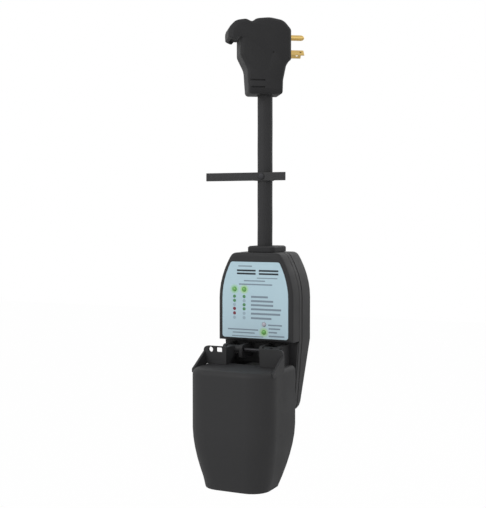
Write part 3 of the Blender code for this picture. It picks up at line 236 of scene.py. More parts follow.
# %% Power cord
CORD_DIAMETER = 17.5 * MM
GLAND_MOUTH = -0.2345
PLUG_SOCKET = -0.0509
CORD_END = -0.268
SWELL = 0.05 * MM
LAY_LENGTH = 0.16


def cord_tube(low, high, rings):
    """A length of the jacket between two heights."""
    loops = []
    for k in range(rings + 1):
        height = low + (high - low) * k / rings
        turn = 2 * math.pi * height / LAY_LENGTH
        loop = []
        for x, y, z in ring_at(1.0, height, 48):
            angle = math.atan2(y, x)
            radius = CORD_DIAMETER / 2 - SWELL * (1 - math.cos(3 * (angle - turn)))
            loop.append((radius * x, radius * y, z))
        loops.append(loop)
    return lofted(loops)


cord = made_piece("cord_jacket", cord_tube(GLAND_MOUTH, PLUG_SOCKET, 40), HANGING, cord_vinyl)
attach(cord, "box")
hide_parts("power_cord")
cord_tail = made_piece("cord_tail", cord_tube(CORD_END, GLAND_MOUTH, 8), HANGING, cord_vinyl)
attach(cord_tail, "box")
print("cord length in mm:", round((PLUG_SOCKET - GLAND_MOUTH) / MM, 1))

# %% [markdown]
# The plug is a soft vinyl moulding with a hook for a finger to pull on, a swelling grip and a neck over the
# cord. Its side view is one outline of rounded corners, and the moulding draws in towards its two sides, so
# the body is that outline repeated across its width, a little smaller near each side.

# %% Plug body
PLUG_WIDTH = 42 * MM
PLUG_TOP = 26.2
PLUG_FOOT = -60.6
PLUG_AXIS = -27.5
PLUG_CORNERS = [
    (0.0, -21.3, 3.0),
    (0.0, 12.8, 5.0),
    (-8.5, PLUG_TOP - 3.2, 14.0),
    (PLUG_AXIS + 3.0, PLUG_TOP, 30.0),
    (PLUG_AXIS - 12.5, PLUG_TOP - 1.5, 12.0),
    (PLUG_AXIS - 17.5, PLUG_TOP - 5.5, 4.0),
    (PLUG_AXIS - 24.5, PLUG_TOP - 2.2, 8.0),
    (PLUG_AXIS - 36.0, PLUG_TOP - 4.0, 12.0),
    (PLUG_AXIS - 45.0, 12.8, 12.0),
    (PLUG_AXIS - 44.5, 1.8, 1.6),
    (PLUG_AXIS - 40.9, 1.8, 1.6),
    (PLUG_AXIS - 39.0, 4.7, 1.5),
    (PLUG_AXIS - 31.0, 4.7, 3.0),
    (PLUG_AXIS - 31.0, -16.5, 10.0),
    (PLUG_AXIS - 23.2, -32.0, 20.0),
    (PLUG_AXIS - 21.2, PLUG_FOOT, 4.0),
    (PLUG_AXIS + 17.7, PLUG_FOOT, 3.0),
    (PLUG_AXIS + 18.2, -45.0, 20.0),
    (PLUG_AXIS + 21.7, -28.0, 12.0),
    (-2.5, -23.3, 4.0),
]


def plug_side(scale):
    """The plug's outline from the side, drawn in towards the cord's axis."""
    outline = rounded([(u * MM, v * MM, r * MM) for u, v, r in PLUG_CORNERS], 7)
    axis = PLUG_AXIS * MM
    return [(axis + (u - axis) * scale, v * scale - 10 * MM * (1 - scale)) for u, v in outline]


def side_draw(share):
    """How far the outline has drawn in at a share of the half width."""
    return 1 - 0.12 * max(0.0, (share - 0.72) / 0.28) ** 2.3


shares = [1.0, 0.985, 0.96, 0.92, 0.87, 0.80, 0.72, 0.36]
levels = [-s for s in shares] + [s for s in reversed(shares)]
plug_loops = [
    [(u, level * PLUG_WIDTH / 2, v) for u, v in plug_side(side_draw(abs(level)))] for level in levels
]
plug = made_piece("plug_moulding", lofted(plug_loops), PLUGGED, plug_vinyl, 50)
print("plug faces:", len(plug.data.polygons))

# %% [markdown]
# The moulding has a pocket for the face insert, a socket for the cord, two thumb grooves on each side of the
# neck and a small gate mark where the vinyl entered the tool. Each is a body cut away with a Boolean, and the
# result is kept as plain mesh.

# %% Pocket, socket, grooves and gate mark
def box_body(low, high):
    """A plain box between two corners."""
    base = [(low[0], low[1]), (high[0], low[1]), (high[0], high[1]), (low[0], high[1])]
    return lofted([[(u, v, level) for u, v in base] for level in (low[2], high[2])])


def cut_away(target, body, place):
    """Cuts a body out of a piece."""
    tool = made_piece("cutter", body, place, target.data.materials[0])
    step = target.modifiers.new("cut", "BOOLEAN")
    step.operation = "DIFFERENCE"
    step.solver = "EXACT"
    step.object = tool
    settled(target)
    bpy.data.objects.remove(tool, do_unlink=True)


pocket_corners = ((-14.8, -18.8), (14.8, -18.8), (14.8, 11.5), (-14.8, 11.5))
pocket = rounded([(u * MM, v * MM, 5.3 * MM) for u, v in pocket_corners])
cut_away(plug, lofted([[(x * MM, u, v) for u, v in pocket] for x in (-8.3, 2.0)]), PLUGGED)
socket = [[(x + PLUG_AXIS * MM, y, z) for x, y, z in ring_at(9.05 * MM, h, 48)] for h in (-0.0626, -0.0506)]
cut_away(plug, lofted(socket), PLUGGED)
GROOVE_HEIGHTS = (-45.5, -53.5)
GROOVE_HALF = 0.9
GROOVE_LENGTH = 18.0
GROOVE_FLOOR = 19.6
for height in GROOVE_HEIGHTS:
    for side in (-1, 1):
        reach = sorted((side * GROOVE_FLOOR * MM, side * 30 * MM))
        start = (PLUG_AXIS - 21.2) * MM
        low = (start, reach[0], (height - GROOVE_HALF) * MM)
        high = (start + GROOVE_LENGTH * MM, reach[1], (height + GROOVE_HALF) * MM)
        cut_away(plug, box_body(low, high), PLUGGED)
GATE_PLACE = (-21.4 * MM, -14 * MM)
GATE_RADIUS = 0.9 * MM
gate_angles = [2 * math.pi * i / 20 for i in range(20)]
gate_x, gate_z = GATE_PLACE
gate_rim = [(gate_x + GATE_RADIUS * math.cos(a), gate_z + GATE_RADIUS * math.sin(a)) for a in gate_angles]
gate = [[(x, y, z) for x, z in gate_rim] for y in (-23 * MM, -20 * MM)]
cut_away(plug, lofted(gate), PLUGGED)
edges = plug.modifiers.new("moulded edges", "BEVEL")
edges.width = 0.35 * MM
edges.segments = 2
edges.limit_method = "ANGLE"
edges.angle_limit = math.radians(50)
settled(plug)
plug.data.shade_smooth()
plug.data.set_sharp_from_angle(angle=math.radians(50))
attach(plug, "box")
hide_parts("plug_body")
print("plug faces after cutting:", len(plug.data.polygons))

# %% [markdown]
# Most of the case pieces already have the right shape, but a solid's edges are knife sharp, and no moulding
# is. A copy of each is merged, its flat faces are joined, and every edge gets a small round. That round is
# what catches the light along the rims of the hood and the shells.

# %% Rounded copies of the case pieces
def softened(node, body, material, edge_mm, angle=32):
    """A copy of a solid with its flat faces joined and its edges rounded."""
    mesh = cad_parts[node].data.copy()
    work = bmesh.new()
    work.from_mesh(mesh)
    bmesh.ops.remove_doubles(work, verts=work.verts, dist=0.004 * MM)
    flat = math.radians(1.0)
    bmesh.ops.dissolve_limit(work, angle_limit=flat, verts=work.verts, edges=work.edges)
    work.to_mesh(mesh)
    work.free()
    mesh.materials.clear()
    mesh.materials.append(material)
    made = bpy.data.objects.new(f"{node}_finished", mesh)
    scene.collection.objects.link(made)
    round_off = made.modifiers.new("round edges", "BEVEL")
    round_off.width = edge_mm * MM
    round_off.segments = 2
    round_off.limit_method = "ANGLE"
    round_off.angle_limit = math.radians(angle)
    round_off.harden_normals = False
    settled(made)
    made.data.shade_smooth()
    made.data.set_sharp_from_angle(angle=math.radians(50))
    even = made.modifiers.new("even normals", "WEIGHTED_NORMAL")
    even.keep_sharp = True
    settled(made)
    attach(made, body)
    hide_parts(node)
    return made


for node, body, edge_mm in (
    ("front_shell", "box", 0.35),
    ("rear_shell", "box", 0.35),
    ("hinge_bracket", "box", 0.35),
    ("rain_hood", "hood", 0.50),
    ("hinge_lug_left", "hood", 0.40),
    ("hinge_lug_right", "hood", 0.40),
):
    made = softened(node, body, case_abs, edge_mm)
    print(node, "faces:", len(made.data.polygons))
softened("cord_gland", "box", case_abs, 0.30)
softened("outlet_body", "box", outlet_nylon, 0.25)
softened("plug_face", "box", face_nylon, 0.25)

# %% [markdown]
# The blades and the earth pin are solid brass, drawn and then stamped. Brass keeps long fine draw marks, so
# its roughness and a faint bump run in stretched streaks. The screws are zinc plated steel: greyer, with a
# soft cloudy plating. The hinge pin, its clip and the strap's rivet are steel with a black oxide.

# %% Metals
def metal(name, colour, shade, roughness, stretch, streak_mm):
    """A bare or plated metal whose streaks are stretched along one or more axes."""
    made = bpy.data.materials.new(name)
    made.use_nodes = True
    tree = made.node_tree
    shader = tree.nodes["Principled BSDF"]
    shader.inputs["Metallic"].default_value = 1.0
    where = add(tree, "ShaderNodeTexCoord").outputs["Object"]
    laid = add(tree, "ShaderNodeMapping", {"Vector": where, "Rotation": (0, 0, -PLUG_TURN), "Scale": stretch})
    pattern = {"Vector": laid.outputs["Vector"], "Scale": 1 / (streak_mm * MM), "Detail": 4.0}
    streaks = add(tree, "ShaderNodeTexNoise", pattern)
    tint = add(tree, "ShaderNodeMix", {"Factor": streaks.outputs["Fac"]}, data_type="RGBA")
    tint.inputs["A"].default_value = linear(shade)
    tint.inputs["B"].default_value = linear(colour)
    tree.links.new(tint.outputs["Result"], shader.inputs["Base Color"])
    spread = {"Value": streaks.outputs["Fac"], "From Min": 0.3, "From Max": 0.7}
    dull = add(tree, "ShaderNodeMapRange", spread)
    dull.inputs["To Min"].default_value = roughness - 0.08
    dull.inputs["To Max"].default_value = roughness + 0.08
    tree.links.new(dull.outputs["Result"], shader.inputs["Roughness"])
    height = {"Height": streaks.outputs["Fac"], "Strength": 0.08, "Distance": 0.1 * MM}
    relief = add(tree, "ShaderNodeBump", height)
    tree.links.new(relief.outputs["Normal"], shader.inputs["Normal"])
    return made


brass = metal("drawn_brass", "#d9bd7c", "#c8a55c", 0.30, (0.08, 1, 1), 0.9)
zinc_steel = metal("zinc_plated_steel", "#b9babc", "#9b9c9f", 0.38, (1, 1, 1), 1.4)
black_steel = metal("black_oxide_steel", "#3c3c3e", "#303032", 0.48, (1, 1, 1), 1.4)
for node in ("line_blade", "neutral_blade"):
    softened(node, "box", brass, 0.25)
softened("earth_pin", "box", brass, 0.15, 60)
print("metals:", brass.name, zinc_steel.name)

# %% [markdown]
# The plug is now whole.

print("plug whole")

# %% [markdown]
# The strap across the cord is woven nylon, 9.5 mm wide, sewn into a loop that grips the cord and held by a
# rivet. Webbing has a clear weave of ribs across its width, and softly rounded edges. It is swept as a band
# along a path, and its UV map counts millimetres along and across, so that the weave follows the turn.

# %% Woven strap
STRAP_HEIGHT = -154 * MM
STRAP_WIDTH = 9.5 * MM
STRAP_THICKNESS = 1.6 * MM
STRAP_TAIL = 71 * MM
STRAP_HEAD = 29.5 * MM
STRAP_GRIP = CORD_DIAMETER / 2 + 0.3 * MM + STRAP_THICKNESS / 2


def webbing_band(path, name, material):
    """A flat band along a level path, with rounded edges and a UV map in millimetres."""
    half, thick = STRAP_WIDTH / 2, STRAP_THICKNESS / 2
    section = rounded([(u * thick, v * half, 0.6 * MM) for u, v in ((-1, -1), (1, -1), (1, 1), (-1, 1))], 3)
    loops, lengths, run = [], [], 0.0
    for i, here in enumerate(path):
        before, after = path[max(0, i - 1)], path[min(len(path) - 1, i + 1)]
        along = (after - before).normalized()
        side = Vector((-along.y, along.x))
        run += (here - before).length
        lengths.append(run)
        loops.append([(here.x + side.x * u, here.y + side.y * u, STRAP_HEIGHT + v) for u, v in section])
    body = lofted(loops)
    layer = body.loops.layers.uv.new("weave")
    count = len(section)
    body.verts.index_update()
    for face in body.faces:
        for corner in face.loops:
            row = corner.vert.index // count
            corner[layer].uv = (lengths[row] / MM, (corner.vert.co.z - STRAP_HEIGHT) / MM)
    return made_piece(name, body, HANGING, material, 60)


def woven_nylon():
    """Dark woven nylon: ribs across the band, finer threads along it, and a dry sheen."""
    made = bpy.data.materials.new("woven_nylon")
    made.use_nodes = True
    tree = made.node_tree
    shader = tree.nodes["Principled BSDF"]
    shader.inputs["Roughness"].default_value = 0.9
    shader.inputs["Specular IOR Level"].default_value = 0.15
    shader.inputs["Sheen Weight"].default_value = 0.15
    shader.inputs["Sheen Roughness"].default_value = 0.5
    where = add(tree, "ShaderNodeUVMap", uv_map="weave").outputs["UV"]
    across = {"Vector": where, "Scale": 0.20, "Distortion": 0.4}
    along = {"Vector": where, "Scale": 0.28, "Distortion": 0.3}
    ribs = add(tree, "ShaderNodeTexWave", across, bands_direction="X").outputs["Fac"]
    threads = add(tree, "ShaderNodeTexWave", along, bands_direction="Y").outputs["Fac"]
    weave = add(tree, "ShaderNodeMath", {0: ribs, 1: threads}, operation="MULTIPLY")
    tint = add(tree, "ShaderNodeMix", {"Factor": weave.outputs["Value"]}, data_type="RGBA")
    tint.inputs["A"].default_value = linear("#363637")
    tint.inputs["B"].default_value = linear("#505051")
    tree.links.new(tint.outputs["Result"], shader.inputs["Base Color"])
    height = {"Height": weave.outputs["Value"], "Strength": 0.5, "Distance": 0.3 * MM}
    relief = add(tree, "ShaderNodeBump", height)
    tree.links.new(relief.outputs["Normal"], shader.inputs["Normal"])
    return made


webbing = woven_nylon()
tail_path = [
    Vector((-STRAP_TAIL + (STRAP_TAIL + STRAP_HEAD) * i / 60, -STRAP_GRIP)) for i in range(61)
]
turn = [math.pi * i / 32 for i in range(33)]
loop_path = [Vector((STRAP_GRIP, y * MM)) for y in (-9.0, -6.0, -3.0)]
loop_path += [Vector((STRAP_GRIP * math.cos(a), STRAP_GRIP * math.sin(a))) for a in turn]
loop_path += [Vector((-STRAP_GRIP, y * MM)) for y in (-3.0, -6.0, -9.0)]
strap = webbing_band(tail_path, "strap_band", webbing)
strap_loop = webbing_band(loop_path, "strap_loop", webbing)
for band in (strap, strap_loop):
    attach(band, "strap")
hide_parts("cord_strap")
softened("strap_rivet", "strap", black_steel, 0.15, 60)
print("strap length in mm:", round((STRAP_TAIL + STRAP_HEAD) / MM, 1))

# %% [markdown]
# Screws, lamp lenses and printed marks all repeat, so one Geometry Nodes tree sets any small shape out on a
# list of points. Its inputs are the shape, a turn about the upright and the material, and each point carries
# its own size, so one unit bar becomes every line of the print. Realize Instances turns the copies into real
# geometry before the result is kept as a plain mesh.

# %% A tree that sets a shape out on points
def set_out_tree():
    tree = bpy.data.node_groups.new("set_out", "GeometryNodeTree")
    tree.interface.new_socket("Geometry", in_out="INPUT", socket_type="NodeSocketGeometry")
    tree.interface.new_socket("Shape", in_out="INPUT", socket_type="NodeSocketObject")
    tree.interface.new_socket("Turn", in_out="INPUT", socket_type="NodeSocketFloat")
    tree.interface.new_socket("Material", in_out="INPUT", socket_type="NodeSocketMaterial")
    tree.interface.new_socket("Geometry", in_out="OUTPUT", socket_type="NodeSocketGeometry")
    given = add(tree, "NodeGroupInput").outputs
    shape = add(tree, "GeometryNodeObjectInfo", {"Object": given["Shape"]}, transform_space="ORIGINAL")
    turned = add(tree, "ShaderNodeCombineXYZ", {"Z": given["Turn"]})
    sized = add(tree, "GeometryNodeInputNamedAttribute", {"Name": "size"}, data_type="FLOAT_VECTOR")
    copies = add(
        tree,
        "GeometryNodeInstanceOnPoints",
        {
            "Points": given["Geometry"],
            "Instance": shape.outputs["Geometry"],
            "Rotation": turned.outputs["Vector"],
            "Scale": sized.outputs["Attribute"],
        },
    )
    real = add(tree, "GeometryNodeRealizeInstances", {"Geometry": copies.outputs["Instances"]})
    coated = add(
        tree, "GeometryNodeSetMaterial", {"Geometry": real.outputs["Geometry"], "Material": given["Material"]}
    )
    add(tree, "NodeGroupOutput", {"Geometry": coated.outputs["Geometry"]})
    return tree


def put_in(step, tree, name, value):
    """Sets one named input of a Geometry Nodes modifier by its identifier."""
    for item in tree.interface.items_tree:
        if item.item_type == "SOCKET" and item.in_out == "INPUT" and item.name == name:
            step[item.identifier] = value


SET_OUT = set_out_tree()


def set_out(name, places, shape, turn, material, sizes=None):
    """A piece made of one shape repeated at places in the hanging frame, each at its own size."""
    mesh = bpy.data.meshes.new(name)
    mesh.from_pydata([HANG + Vector(place) for place in places], [], [])
    sized = mesh.attributes.new("size", "FLOAT_VECTOR", "POINT")
    for point, size in zip(sized.data, sizes or [(1, 1, 1)] * len(places)):
        point.vector = size
    made = bpy.data.objects.new(name, mesh)
    scene.collection.objects.link(made)
    step = made.modifiers.new("set out", "NODES")
    step.node_group = SET_OUT
    put_in(step, SET_OUT, "Shape", shape)
    put_in(step, SET_OUT, "Turn", turn)
    put_in(step, SET_OUT, "Material", material)
    settled(made)
    made.data.shade_smooth()
    made.data.set_sharp_from_angle(angle=math.radians(40))
    return made


print("tree inputs:", [i.name for i in SET_OUT.interface.items_tree])

# %% [markdown]
# A pan-head screw is a turned shape with a cross recess. It is modelled once, its head facing forward, and
# set out where the solids have their screws: six close the shells from behind, two hold the outlet and two
# hold the hinge bracket from the front.

# %% Screws
def turned_along_y(rings, sides):
    """A body turned about Y through (distance, radius) rings."""
    loops = []
    for along, radius in rings:
        angles = [2 * math.pi * i / sides for i in range(sides)]
        loops.append([(radius * math.cos(a), along, radius * math.sin(a)) for a in angles])
    return lofted(loops)


def screw_shape(length_mm):
    """A pan-head screw whose seat is at the origin and whose head looks along -Y."""
    head = [(0.0, 3.1), (-0.7, 3.1), (-1.3, 2.95), (-1.8, 2.5), (-2.1, 1.8), (-2.2, 0.9)]
    shank = [(length_mm, 0.8), (length_mm - 1.6, 1.6), (0.0, 1.6)]
    body = turned_along_y([(a * MM, r * MM) for a, r in shank + head], 28)
    shape = made_piece(f"screw_{length_mm:g}", body, Matrix.Identity(4), zinc_steel)
    for wide, tall in ((1.9, 0.38), (0.38, 1.9)):
        cross = box_body((-wide * MM, -3 * MM, -tall * MM), (wide * MM, -1.1 * MM, tall * MM))
        cut_away(shape, cross, Matrix.Identity(4))
    return shape


def seat_of(node, facing):
    """Where a screw's head meets what it holds, in the hanging frame. Facing is -1 in front and 1 behind."""
    low, high = (Vector(corner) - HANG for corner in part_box(node))
    middle = (low + high) / 2
    return (middle.x, low.y + 2.2 * MM if facing < 0 else high.y - 2.2 * MM, middle.z)


sides = ("left", "right")
for name, facing, rows in (
    ("housing_screws_upper", 1, ["housing_screw_upper", "housing_screw_middle"]),
    ("housing_screws_lower", 1, ["housing_screw_lower"]),
    ("outlet_screws", -1, ["outlet_screw"]),
    ("bracket_screws", -1, ["bracket_screw"]),
):
    nodes = [f"{row}_{side}" for row in rows for side in sides]
    low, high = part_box(nodes[0])
    shape = screw_shape(round((high[1] - low[1]) / MM - 2.2, 1))
    seats = [seat_of(node, facing) for node in nodes]
    screws = set_out(name, seats, shape, math.pi if facing > 0 else 0.0, zinc_steel)
    bpy.data.objects.remove(shape, do_unlink=True)
    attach(screws, "box")
    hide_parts(*nodes)
    print(name, "at", len(nodes), "places")

# %% [markdown]
# The hinge pin and its clip keep their solids. Everything sealed inside the box also keeps its solid and
# gets the finish of the real part: a green laminate board, blue dipped varistors, plated fuse cans, a
# green terminal block and three coloured conductors.

# %% Pin and inner parts
board_green = moulded("board_laminate", "#2f6b43", "#285c39", 0.45, 1.0, 0.10, 0.40)
varistor_blue = moulded("dipped_varistor", "#3a64a8", "#315690", 0.40, 2.0, 0.30, 0.40)
fuse_plate = metal("fuse_plate", "#c9c6bd", "#b1aea5", 0.35, (1, 1, 0.1), 1.0)
block_green = moulded("terminal_nylon", "#4f8f5e", "#467f54", 0.50, 1.0, 0.15, 0.35)
wire_black = moulded("line_insulation", "#242424", "#1f1f1f", 0.50, 1.5, 0.10, 0.30)
wire_white = moulded("neutral_insulation", "#e2e1dc", "#d6d5cf", 0.50, 1.5, 0.10, 0.30)
wire_green = moulded("earth_insulation", "#3f8a52", "#377a48", 0.50, 1.5, 0.10, 0.30)
FINISHES = {
    "hinge_pin": black_steel,
    "pin_clip": black_steel,
    "shell_gasket": seal_rubber,
    "outlet_gasket": seal_rubber,
    "circuit_board": board_green,
    "terminal_block": block_green,
    "cord_clamp": case_abs,
    "line_lead": wire_black,
    "neutral_lead": wire_white,
    "earth_lead": wire_green,
}
for node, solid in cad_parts.items():
    finish = FINISHES.get(node)
    for start, made in (
        ("varistor", varistor_blue),
        ("thermal_fuse", fuse_plate),
        ("board_screw", zinc_steel),
        ("clamp_screw", zinc_steel),
    ):
        if node.startswith(start):
            finish = made
    if node.endswith("_contact"):
        finish = brass
    if finish:
        solid.data.materials.clear()
        solid.data.materials.append(finish)
print("inner parts finished")

# %% [markdown]
# The label is a satin vinyl sheet in pale blue, set in a shallow recess. Lit lamps spill a green glow on the
# print around them. That glow is painted light, painted into the label's colour: the distance from each lamp
# sets how much green is mixed in. Ink on vinyl never lies perfectly even, so a slow noise shifts the blue.

# %% Label vinyl
LAMPS = {
    "status_lamp_left": (-25.6, -283.0),
    "status_lamp_right": (-13.4, -283.0),
    "fault_lamp": (11.4, -322.2),
    "surge_lamp": (11.2, -331.2),
}
LABEL_FACE = -28.3 * MM


def label_vinyl():
    made = bpy.data.materials.new("label_vinyl")
    made.use_nodes = True
    tree = made.node_tree
    shader = tree.nodes["Principled BSDF"]
    shader.inputs["Roughness"].default_value = 0.45
    shader.inputs["Specular IOR Level"].default_value = 0.25
    where = add(tree, "ShaderNodeTexCoord").outputs["Object"]
    cloud = add(tree, "ShaderNodeTexNoise", {"Vector": where, "Scale": 1 / (22 * MM), "Detail": 2.0})
    parts = add(tree, "ShaderNodeSeparateXYZ", {"Vector": where})
    span = {"Value": parts.outputs["Z"], "From Min": -0.34, "From Max": -0.29}
    fall = add(tree, "ShaderNodeMapRange", span)
    ink = add(tree, "ShaderNodeMix", {"Factor": fall.outputs["Result"]}, data_type="RGBA")
    ink.inputs["A"].default_value = linear("#b9d0da")
    ink.inputs["B"].default_value = linear("#b8d2dc")
    even = add(tree, "ShaderNodeMix", {"Factor": cloud.outputs["Fac"]}, data_type="RGBA")
    even.inputs["B"].default_value = linear("#b3cdd9")
    tree.links.new(ink.outputs["Result"], even.inputs["A"])
    colour = even.outputs["Result"]
    flat = add(tree, "ShaderNodeMapping", {"Vector": where, "Scale": (1, 0, 1)})
    # Painted light: the green of each lit lamp is painted onto the label around it, fading with distance from
    # the lamp.
    for name, glow, reach in (
        ("status_lamp_left", "#9ccf9f", 6.6),
        ("status_lamp_right", "#a5d28e", 6.6),
        ("surge_lamp", "#a6d193", 7.0),
    ):
        x, z = LAMPS[name]
        centre = (HANG.x + x * MM, 0.0, z * MM)
        away = add(tree, "ShaderNodeVectorMath", {0: flat.outputs["Vector"], 1: centre}, operation="DISTANCE")
        falloff = {"Value": away.outputs["Value"], "From Min": 2.4 * MM, "From Max": reach * MM}
        falloff |= {"To Min": 0.95, "To Max": 0.0}
        painted_glow_share = add(tree, "ShaderNodeMapRange", falloff, interpolation_type="SMOOTHSTEP")
        painted_glow_colour = add(tree, "ShaderNodeMix", {"Factor": painted_glow_share.outputs["Result"]}, data_type="RGBA")
        tree.links.new(colour, painted_glow_colour.inputs["A"])
        painted_glow_colour.inputs["B"].default_value = linear(glow)
        colour = painted_glow_colour.outputs["Result"]
    tree.links.new(colour, shader.inputs["Base Color"])
    grain = add(tree, "ShaderNodeTexNoise", {"Vector": where, "Scale": 1 / (0.8 * MM)})
    height = {"Height": grain.outputs["Fac"], "Strength": 0.05, "Distance": 0.1 * MM}
    relief = add(tree, "ShaderNodeBump", height)
    tree.links.new(relief.outputs["Normal"], shader.inputs["Normal"])
    return made


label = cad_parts["label_panel"]
label.data.materials.clear()
label.data.materials.append(label_vinyl())
print("label finished")

# %% [markdown]
# The print on the label is kept generic: thick bars stand for a heading, thin bars for lines of words, and
# rows of small dots for a legend of lamp states. Every bar is the same unit box at its own size, a few
# hundredths of a millimetre thick, and every dot is one flat disc.

# %% Label print
INK_THICKNESS = 0.10 * MM
INK_PLACE = LABEL_FACE - 0.02 * MM
HEADING_BARS = [
    (-22.5, 1.0, -261.4, 2.0),
    (5.0, 29.1, -261.4, 2.0),
    (-22.5, 1.0, -265.0, 2.0),
    (5.0, 29.1, -265.0, 2.0),
]
WORD_BARS = [
    (-20.8, -3.6, -256.4, 1.3),
    (2.7, 27.9, -269.8, 1.0),
    (-13.7, 12.8, -273.1, 1.3),
    (-19.9, 21.6, -277.2, 1.5),
    (-4.8, 16.2, -291.3, 2.2),
    (-4.8, 22.8, -296.1, 2.2),
    (-4.8, 22.8, -300.7, 2.2),
    (-4.8, 32.5, -305.4, 2.2),
    (-4.8, 31.4, -310.5, 2.2),
    (-4.8, 20.7, -315.6, 2.2),
    (16.5, 33.6, -322.8, 1.6),
    (17.3, 31.4, -326.9, 1.6),
    (17.3, 27.5, -331.0, 1.6),
    (17.3, 36.5, -335.3, 1.6),
    (-34.0, 4.2, -329.0, 1.5),
    (-27.9, -0.2, -332.6, 1.3),
    (-28.8, 10.5, -336.6, 1.0),
]
LEGEND_ROWS = [-291.3, -296.1, -300.7, -305.4, -310.5, -315.6]
LEGEND_COLUMNS = (-25.6, -13.4)
LEGEND = ["gg", "g-", "-g", "rg", "r-", "--"]
DOT_RADIUS = 1.9 * MM


def printed_ink(name, colour, shade):
    """A satin printing ink with a slightly uneven lay."""
    made = bpy.data.materials.new(name)
    made.use_nodes = True
    tree = made.node_tree
    shader = tree.nodes["Principled BSDF"]
    shader.inputs["Roughness"].default_value = 0.5
    shader.inputs["Specular IOR Level"].default_value = 0.25
    where = add(tree, "ShaderNodeTexCoord").outputs["Object"]
    lay = add(tree, "ShaderNodeTexNoise", {"Vector": where, "Scale": 1 / (1.5 * MM), "Detail": 2.0})
    tint = add(tree, "ShaderNodeMix", {"Factor": lay.outputs["Fac"]}, data_type="RGBA")
    tint.inputs["A"].default_value = linear(shade)
    tint.inputs["B"].default_value = linear(colour)
    tree.links.new(tint.outputs["Result"], shader.inputs["Base Color"])
    return made


dark_ink = printed_ink("dark_ink", "#2f353b", "#292f35")
word_ink = printed_ink("word_ink", "#84939f", "#7a8995")
INKS = {
    "g": printed_ink("green_ink", "#5a8f63", "#528459"),
    "r": printed_ink("red_ink", "#7e3642", "#722f3b"),
    "-": printed_ink("grey_ink", "#a1b6c2", "#99aeba"),
}
unit_bar = made_piece("unit_bar", box_body((-0.5, -0.5, -0.5), (0.5, 0.5, 0.5)), Matrix.Identity(4), dark_ink)
prints = []
for name, bars, ink in (("heading_bars", HEADING_BARS, dark_ink), ("word_bars", WORD_BARS, word_ink)):
    spots = [((left + right) / 2 * MM, INK_PLACE, height * MM) for left, right, height, _ in bars]
    sizes = [((right - left) * MM, INK_THICKNESS, tall * MM) for left, right, _, tall in bars]
    prints.append(set_out(name, spots, unit_bar, 0.0, ink, sizes))
bpy.data.objects.remove(unit_bar, do_unlink=True)
disc_rings = [(INK_THICKNESS / 2, DOT_RADIUS), (-INK_THICKNESS / 2, DOT_RADIUS)]
disc = made_piece("unit_dot", turned_along_y(disc_rings, 24), Matrix.Identity(4), dark_ink)
for mark, ink in INKS.items():
    spots = [
        (column * MM, INK_PLACE, row * MM)
        for row, marks in zip(LEGEND_ROWS, LEGEND)
        for column, state in zip(LEGEND_COLUMNS, marks)
        if state == mark
    ]
    prints.append(set_out(f"label_dots_{ink.name}", spots, disc, 0.0, ink))
bpy.data.objects.remove(disc, do_unlink=True)
for made in prints:
    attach(made, "box")
print("printed pieces:", [made.name for made in prints])

# %% [markdown]
# Each lamp is a domed lens over a small light. Three are lit, so their lens gives off a little green light
# of its own. The fault lamp is out, so its clear lens hardly stands out from the label.

# %% Lamp lenses
LENS_RINGS = [(3.0, 2.5), (0.3, 2.5), (-0.2, 2.45), (-0.65, 2.1), (-0.95, 1.5), (-1.1, 0.7)]


def lens_plastic(name, colour, shade, glow):
    """A tinted lens, a little lighter in patches, with a glow of its own."""
    made = bpy.data.materials.new(name)
    made.use_nodes = True
    tree = made.node_tree
    shader = tree.nodes["Principled BSDF"]
    shader.inputs["Roughness"].default_value = 0.22
    where = add(tree, "ShaderNodeTexCoord").outputs["Object"]
    depth = add(tree, "ShaderNodeTexNoise", {"Vector": where, "Scale": 1 / (2.5 * MM), "Detail": 1.0})
    tint = add(tree, "ShaderNodeMix", {"Factor": depth.outputs["Fac"]}, data_type="RGBA")
    tint.inputs["A"].default_value = linear(shade)
    tint.inputs["B"].default_value = linear(colour)
    tree.links.new(tint.outputs["Result"], shader.inputs["Base Color"])
    tree.links.new(tint.outputs["Result"], shader.inputs["Emission Color"])
    shader.inputs["Emission Strength"].default_value = glow
    return made


lens_body = turned_along_y([(a * MM, r * MM) for a, r in LENS_RINGS], 28)
lens = made_piece("unit_lens", lens_body, Matrix.Identity(4), dark_ink)
lit_names = ["status_lamp_left", "status_lamp_right", "surge_lamp"]
for name, nodes, finish in (
    ("lit_lenses", lit_names, lens_plastic("lit_lens", "#6fae5c", "#63a152", 0.06)),
    ("dark_lens", ["fault_lamp"], lens_plastic("clear_lens", "#b8b5bf", "#aeacb6", 0.0)),
):
    spots = [(LAMPS[node][0] * MM, LABEL_FACE, LAMPS[node][1] * MM) for node in nodes]
    lenses = set_out(name, spots, lens, 0.0, finish)
    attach(lenses, "box")
    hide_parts(*nodes)
    print(name, "at", len(nodes), "places")
bpy.data.objects.remove(lens, do_unlink=True)

# %% [markdown]
# The stage is a pale floor well below the hanging box and a white studio round it. The camera sees both as
# almost white, like the picture's background, while the object is lit by a dimmer sky and three soft boxes.
# The floor keeps a share of plain diffuse, so it still takes a soft shadow.

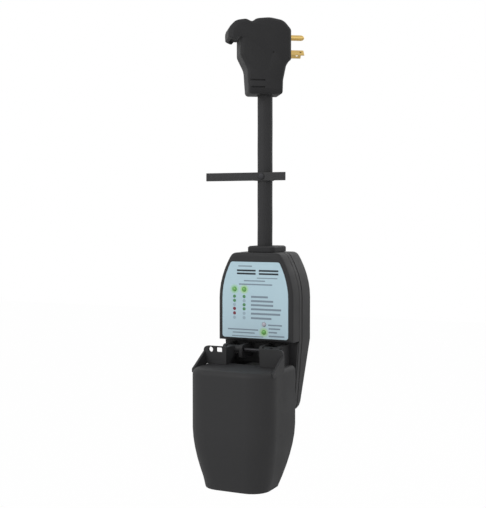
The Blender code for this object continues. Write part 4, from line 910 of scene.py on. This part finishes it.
# %% Stage
def studio_floor():
    """A pale floor that looks white to the camera and still takes a soft shadow."""
    made = bpy.data.materials.new("studio_floor")
    made.use_nodes = True
    tree = made.node_tree
    tree.nodes.clear()
    path = add(tree, "ShaderNodeLightPath")
    plain = add(tree, "ShaderNodeBsdfDiffuse", {"Color": linear("#f2f2f2")})
    glow = add(tree, "ShaderNodeEmission", {"Strength": 1.0})
    seen = add(tree, "ShaderNodeMath", {0: path.outputs["Is Camera Ray"], 1: 0.985}, operation="MULTIPLY")
    shares = {0: seen.outputs["Value"], 1: plain.outputs["BSDF"], 2: glow.outputs["Emission"]}
    both = add(tree, "ShaderNodeMixShader", shares)
    add(tree, "ShaderNodeOutputMaterial", {"Surface": both.outputs["Shader"]})
    return made


FLOOR = -0.75
sheet = bmesh.new()
sheet.faces.new([sheet.verts.new((x, y, FLOOR)) for x, y in ((-4, -4), (4, -4), (4, 4), (-4, 4))])
floor = made_piece("floor", sheet, Matrix.Identity(4), studio_floor())

world = bpy.data.worlds.new("studio")
scene.world = world
world.use_nodes = True
tree = world.node_tree
tree.nodes.clear()
ray = add(tree, "ShaderNodeLightPath").outputs
direct = {0: ray["Is Camera Ray"], 1: ray["Is Glossy Ray"]}
seen = add(tree, "ShaderNodeMath", direct, operation="MAXIMUM")
direct = {0: seen.outputs["Value"], 1: ray["Is Transmission Ray"]}
seen = add(tree, "ShaderNodeMath", direct, operation="MAXIMUM")
level = add(tree, "ShaderNodeMapRange", {"Value": seen.outputs["Value"], "To Min": 0.55, "To Max": 1.0})
sky = add(tree, "ShaderNodeBackground", {"Color": (1, 1, 1, 1), "Strength": level.outputs["Result"]})
add(tree, "ShaderNodeOutputWorld", {"Surface": sky.outputs["Background"]})


def soft_box(name, place, target, size, watts):
    """A square studio lamp turned to a target."""
    data = bpy.data.lights.new(name, "AREA")
    data.shape = "SQUARE"
    data.size = size
    data.energy = watts
    lamp = bpy.data.objects.new(name, data)
    scene.collection.objects.link(lamp)
    lamp.location = place
    lamp.rotation_euler = (Vector(target) - lamp.location).to_track_quat("-Z", "Y").to_euler()


middle = HANG + Vector((0, 0, -0.25))
soft_box("key", (-0.9, -1.6, 0.7), middle, 1.4, 16)
soft_box("fill", (1.6, -1.0, 0.1), middle, 1.4, 3.5)
soft_box("rim", (0.3, 1.6, 0.6), middle, 1.2, 6)
print("stage set")
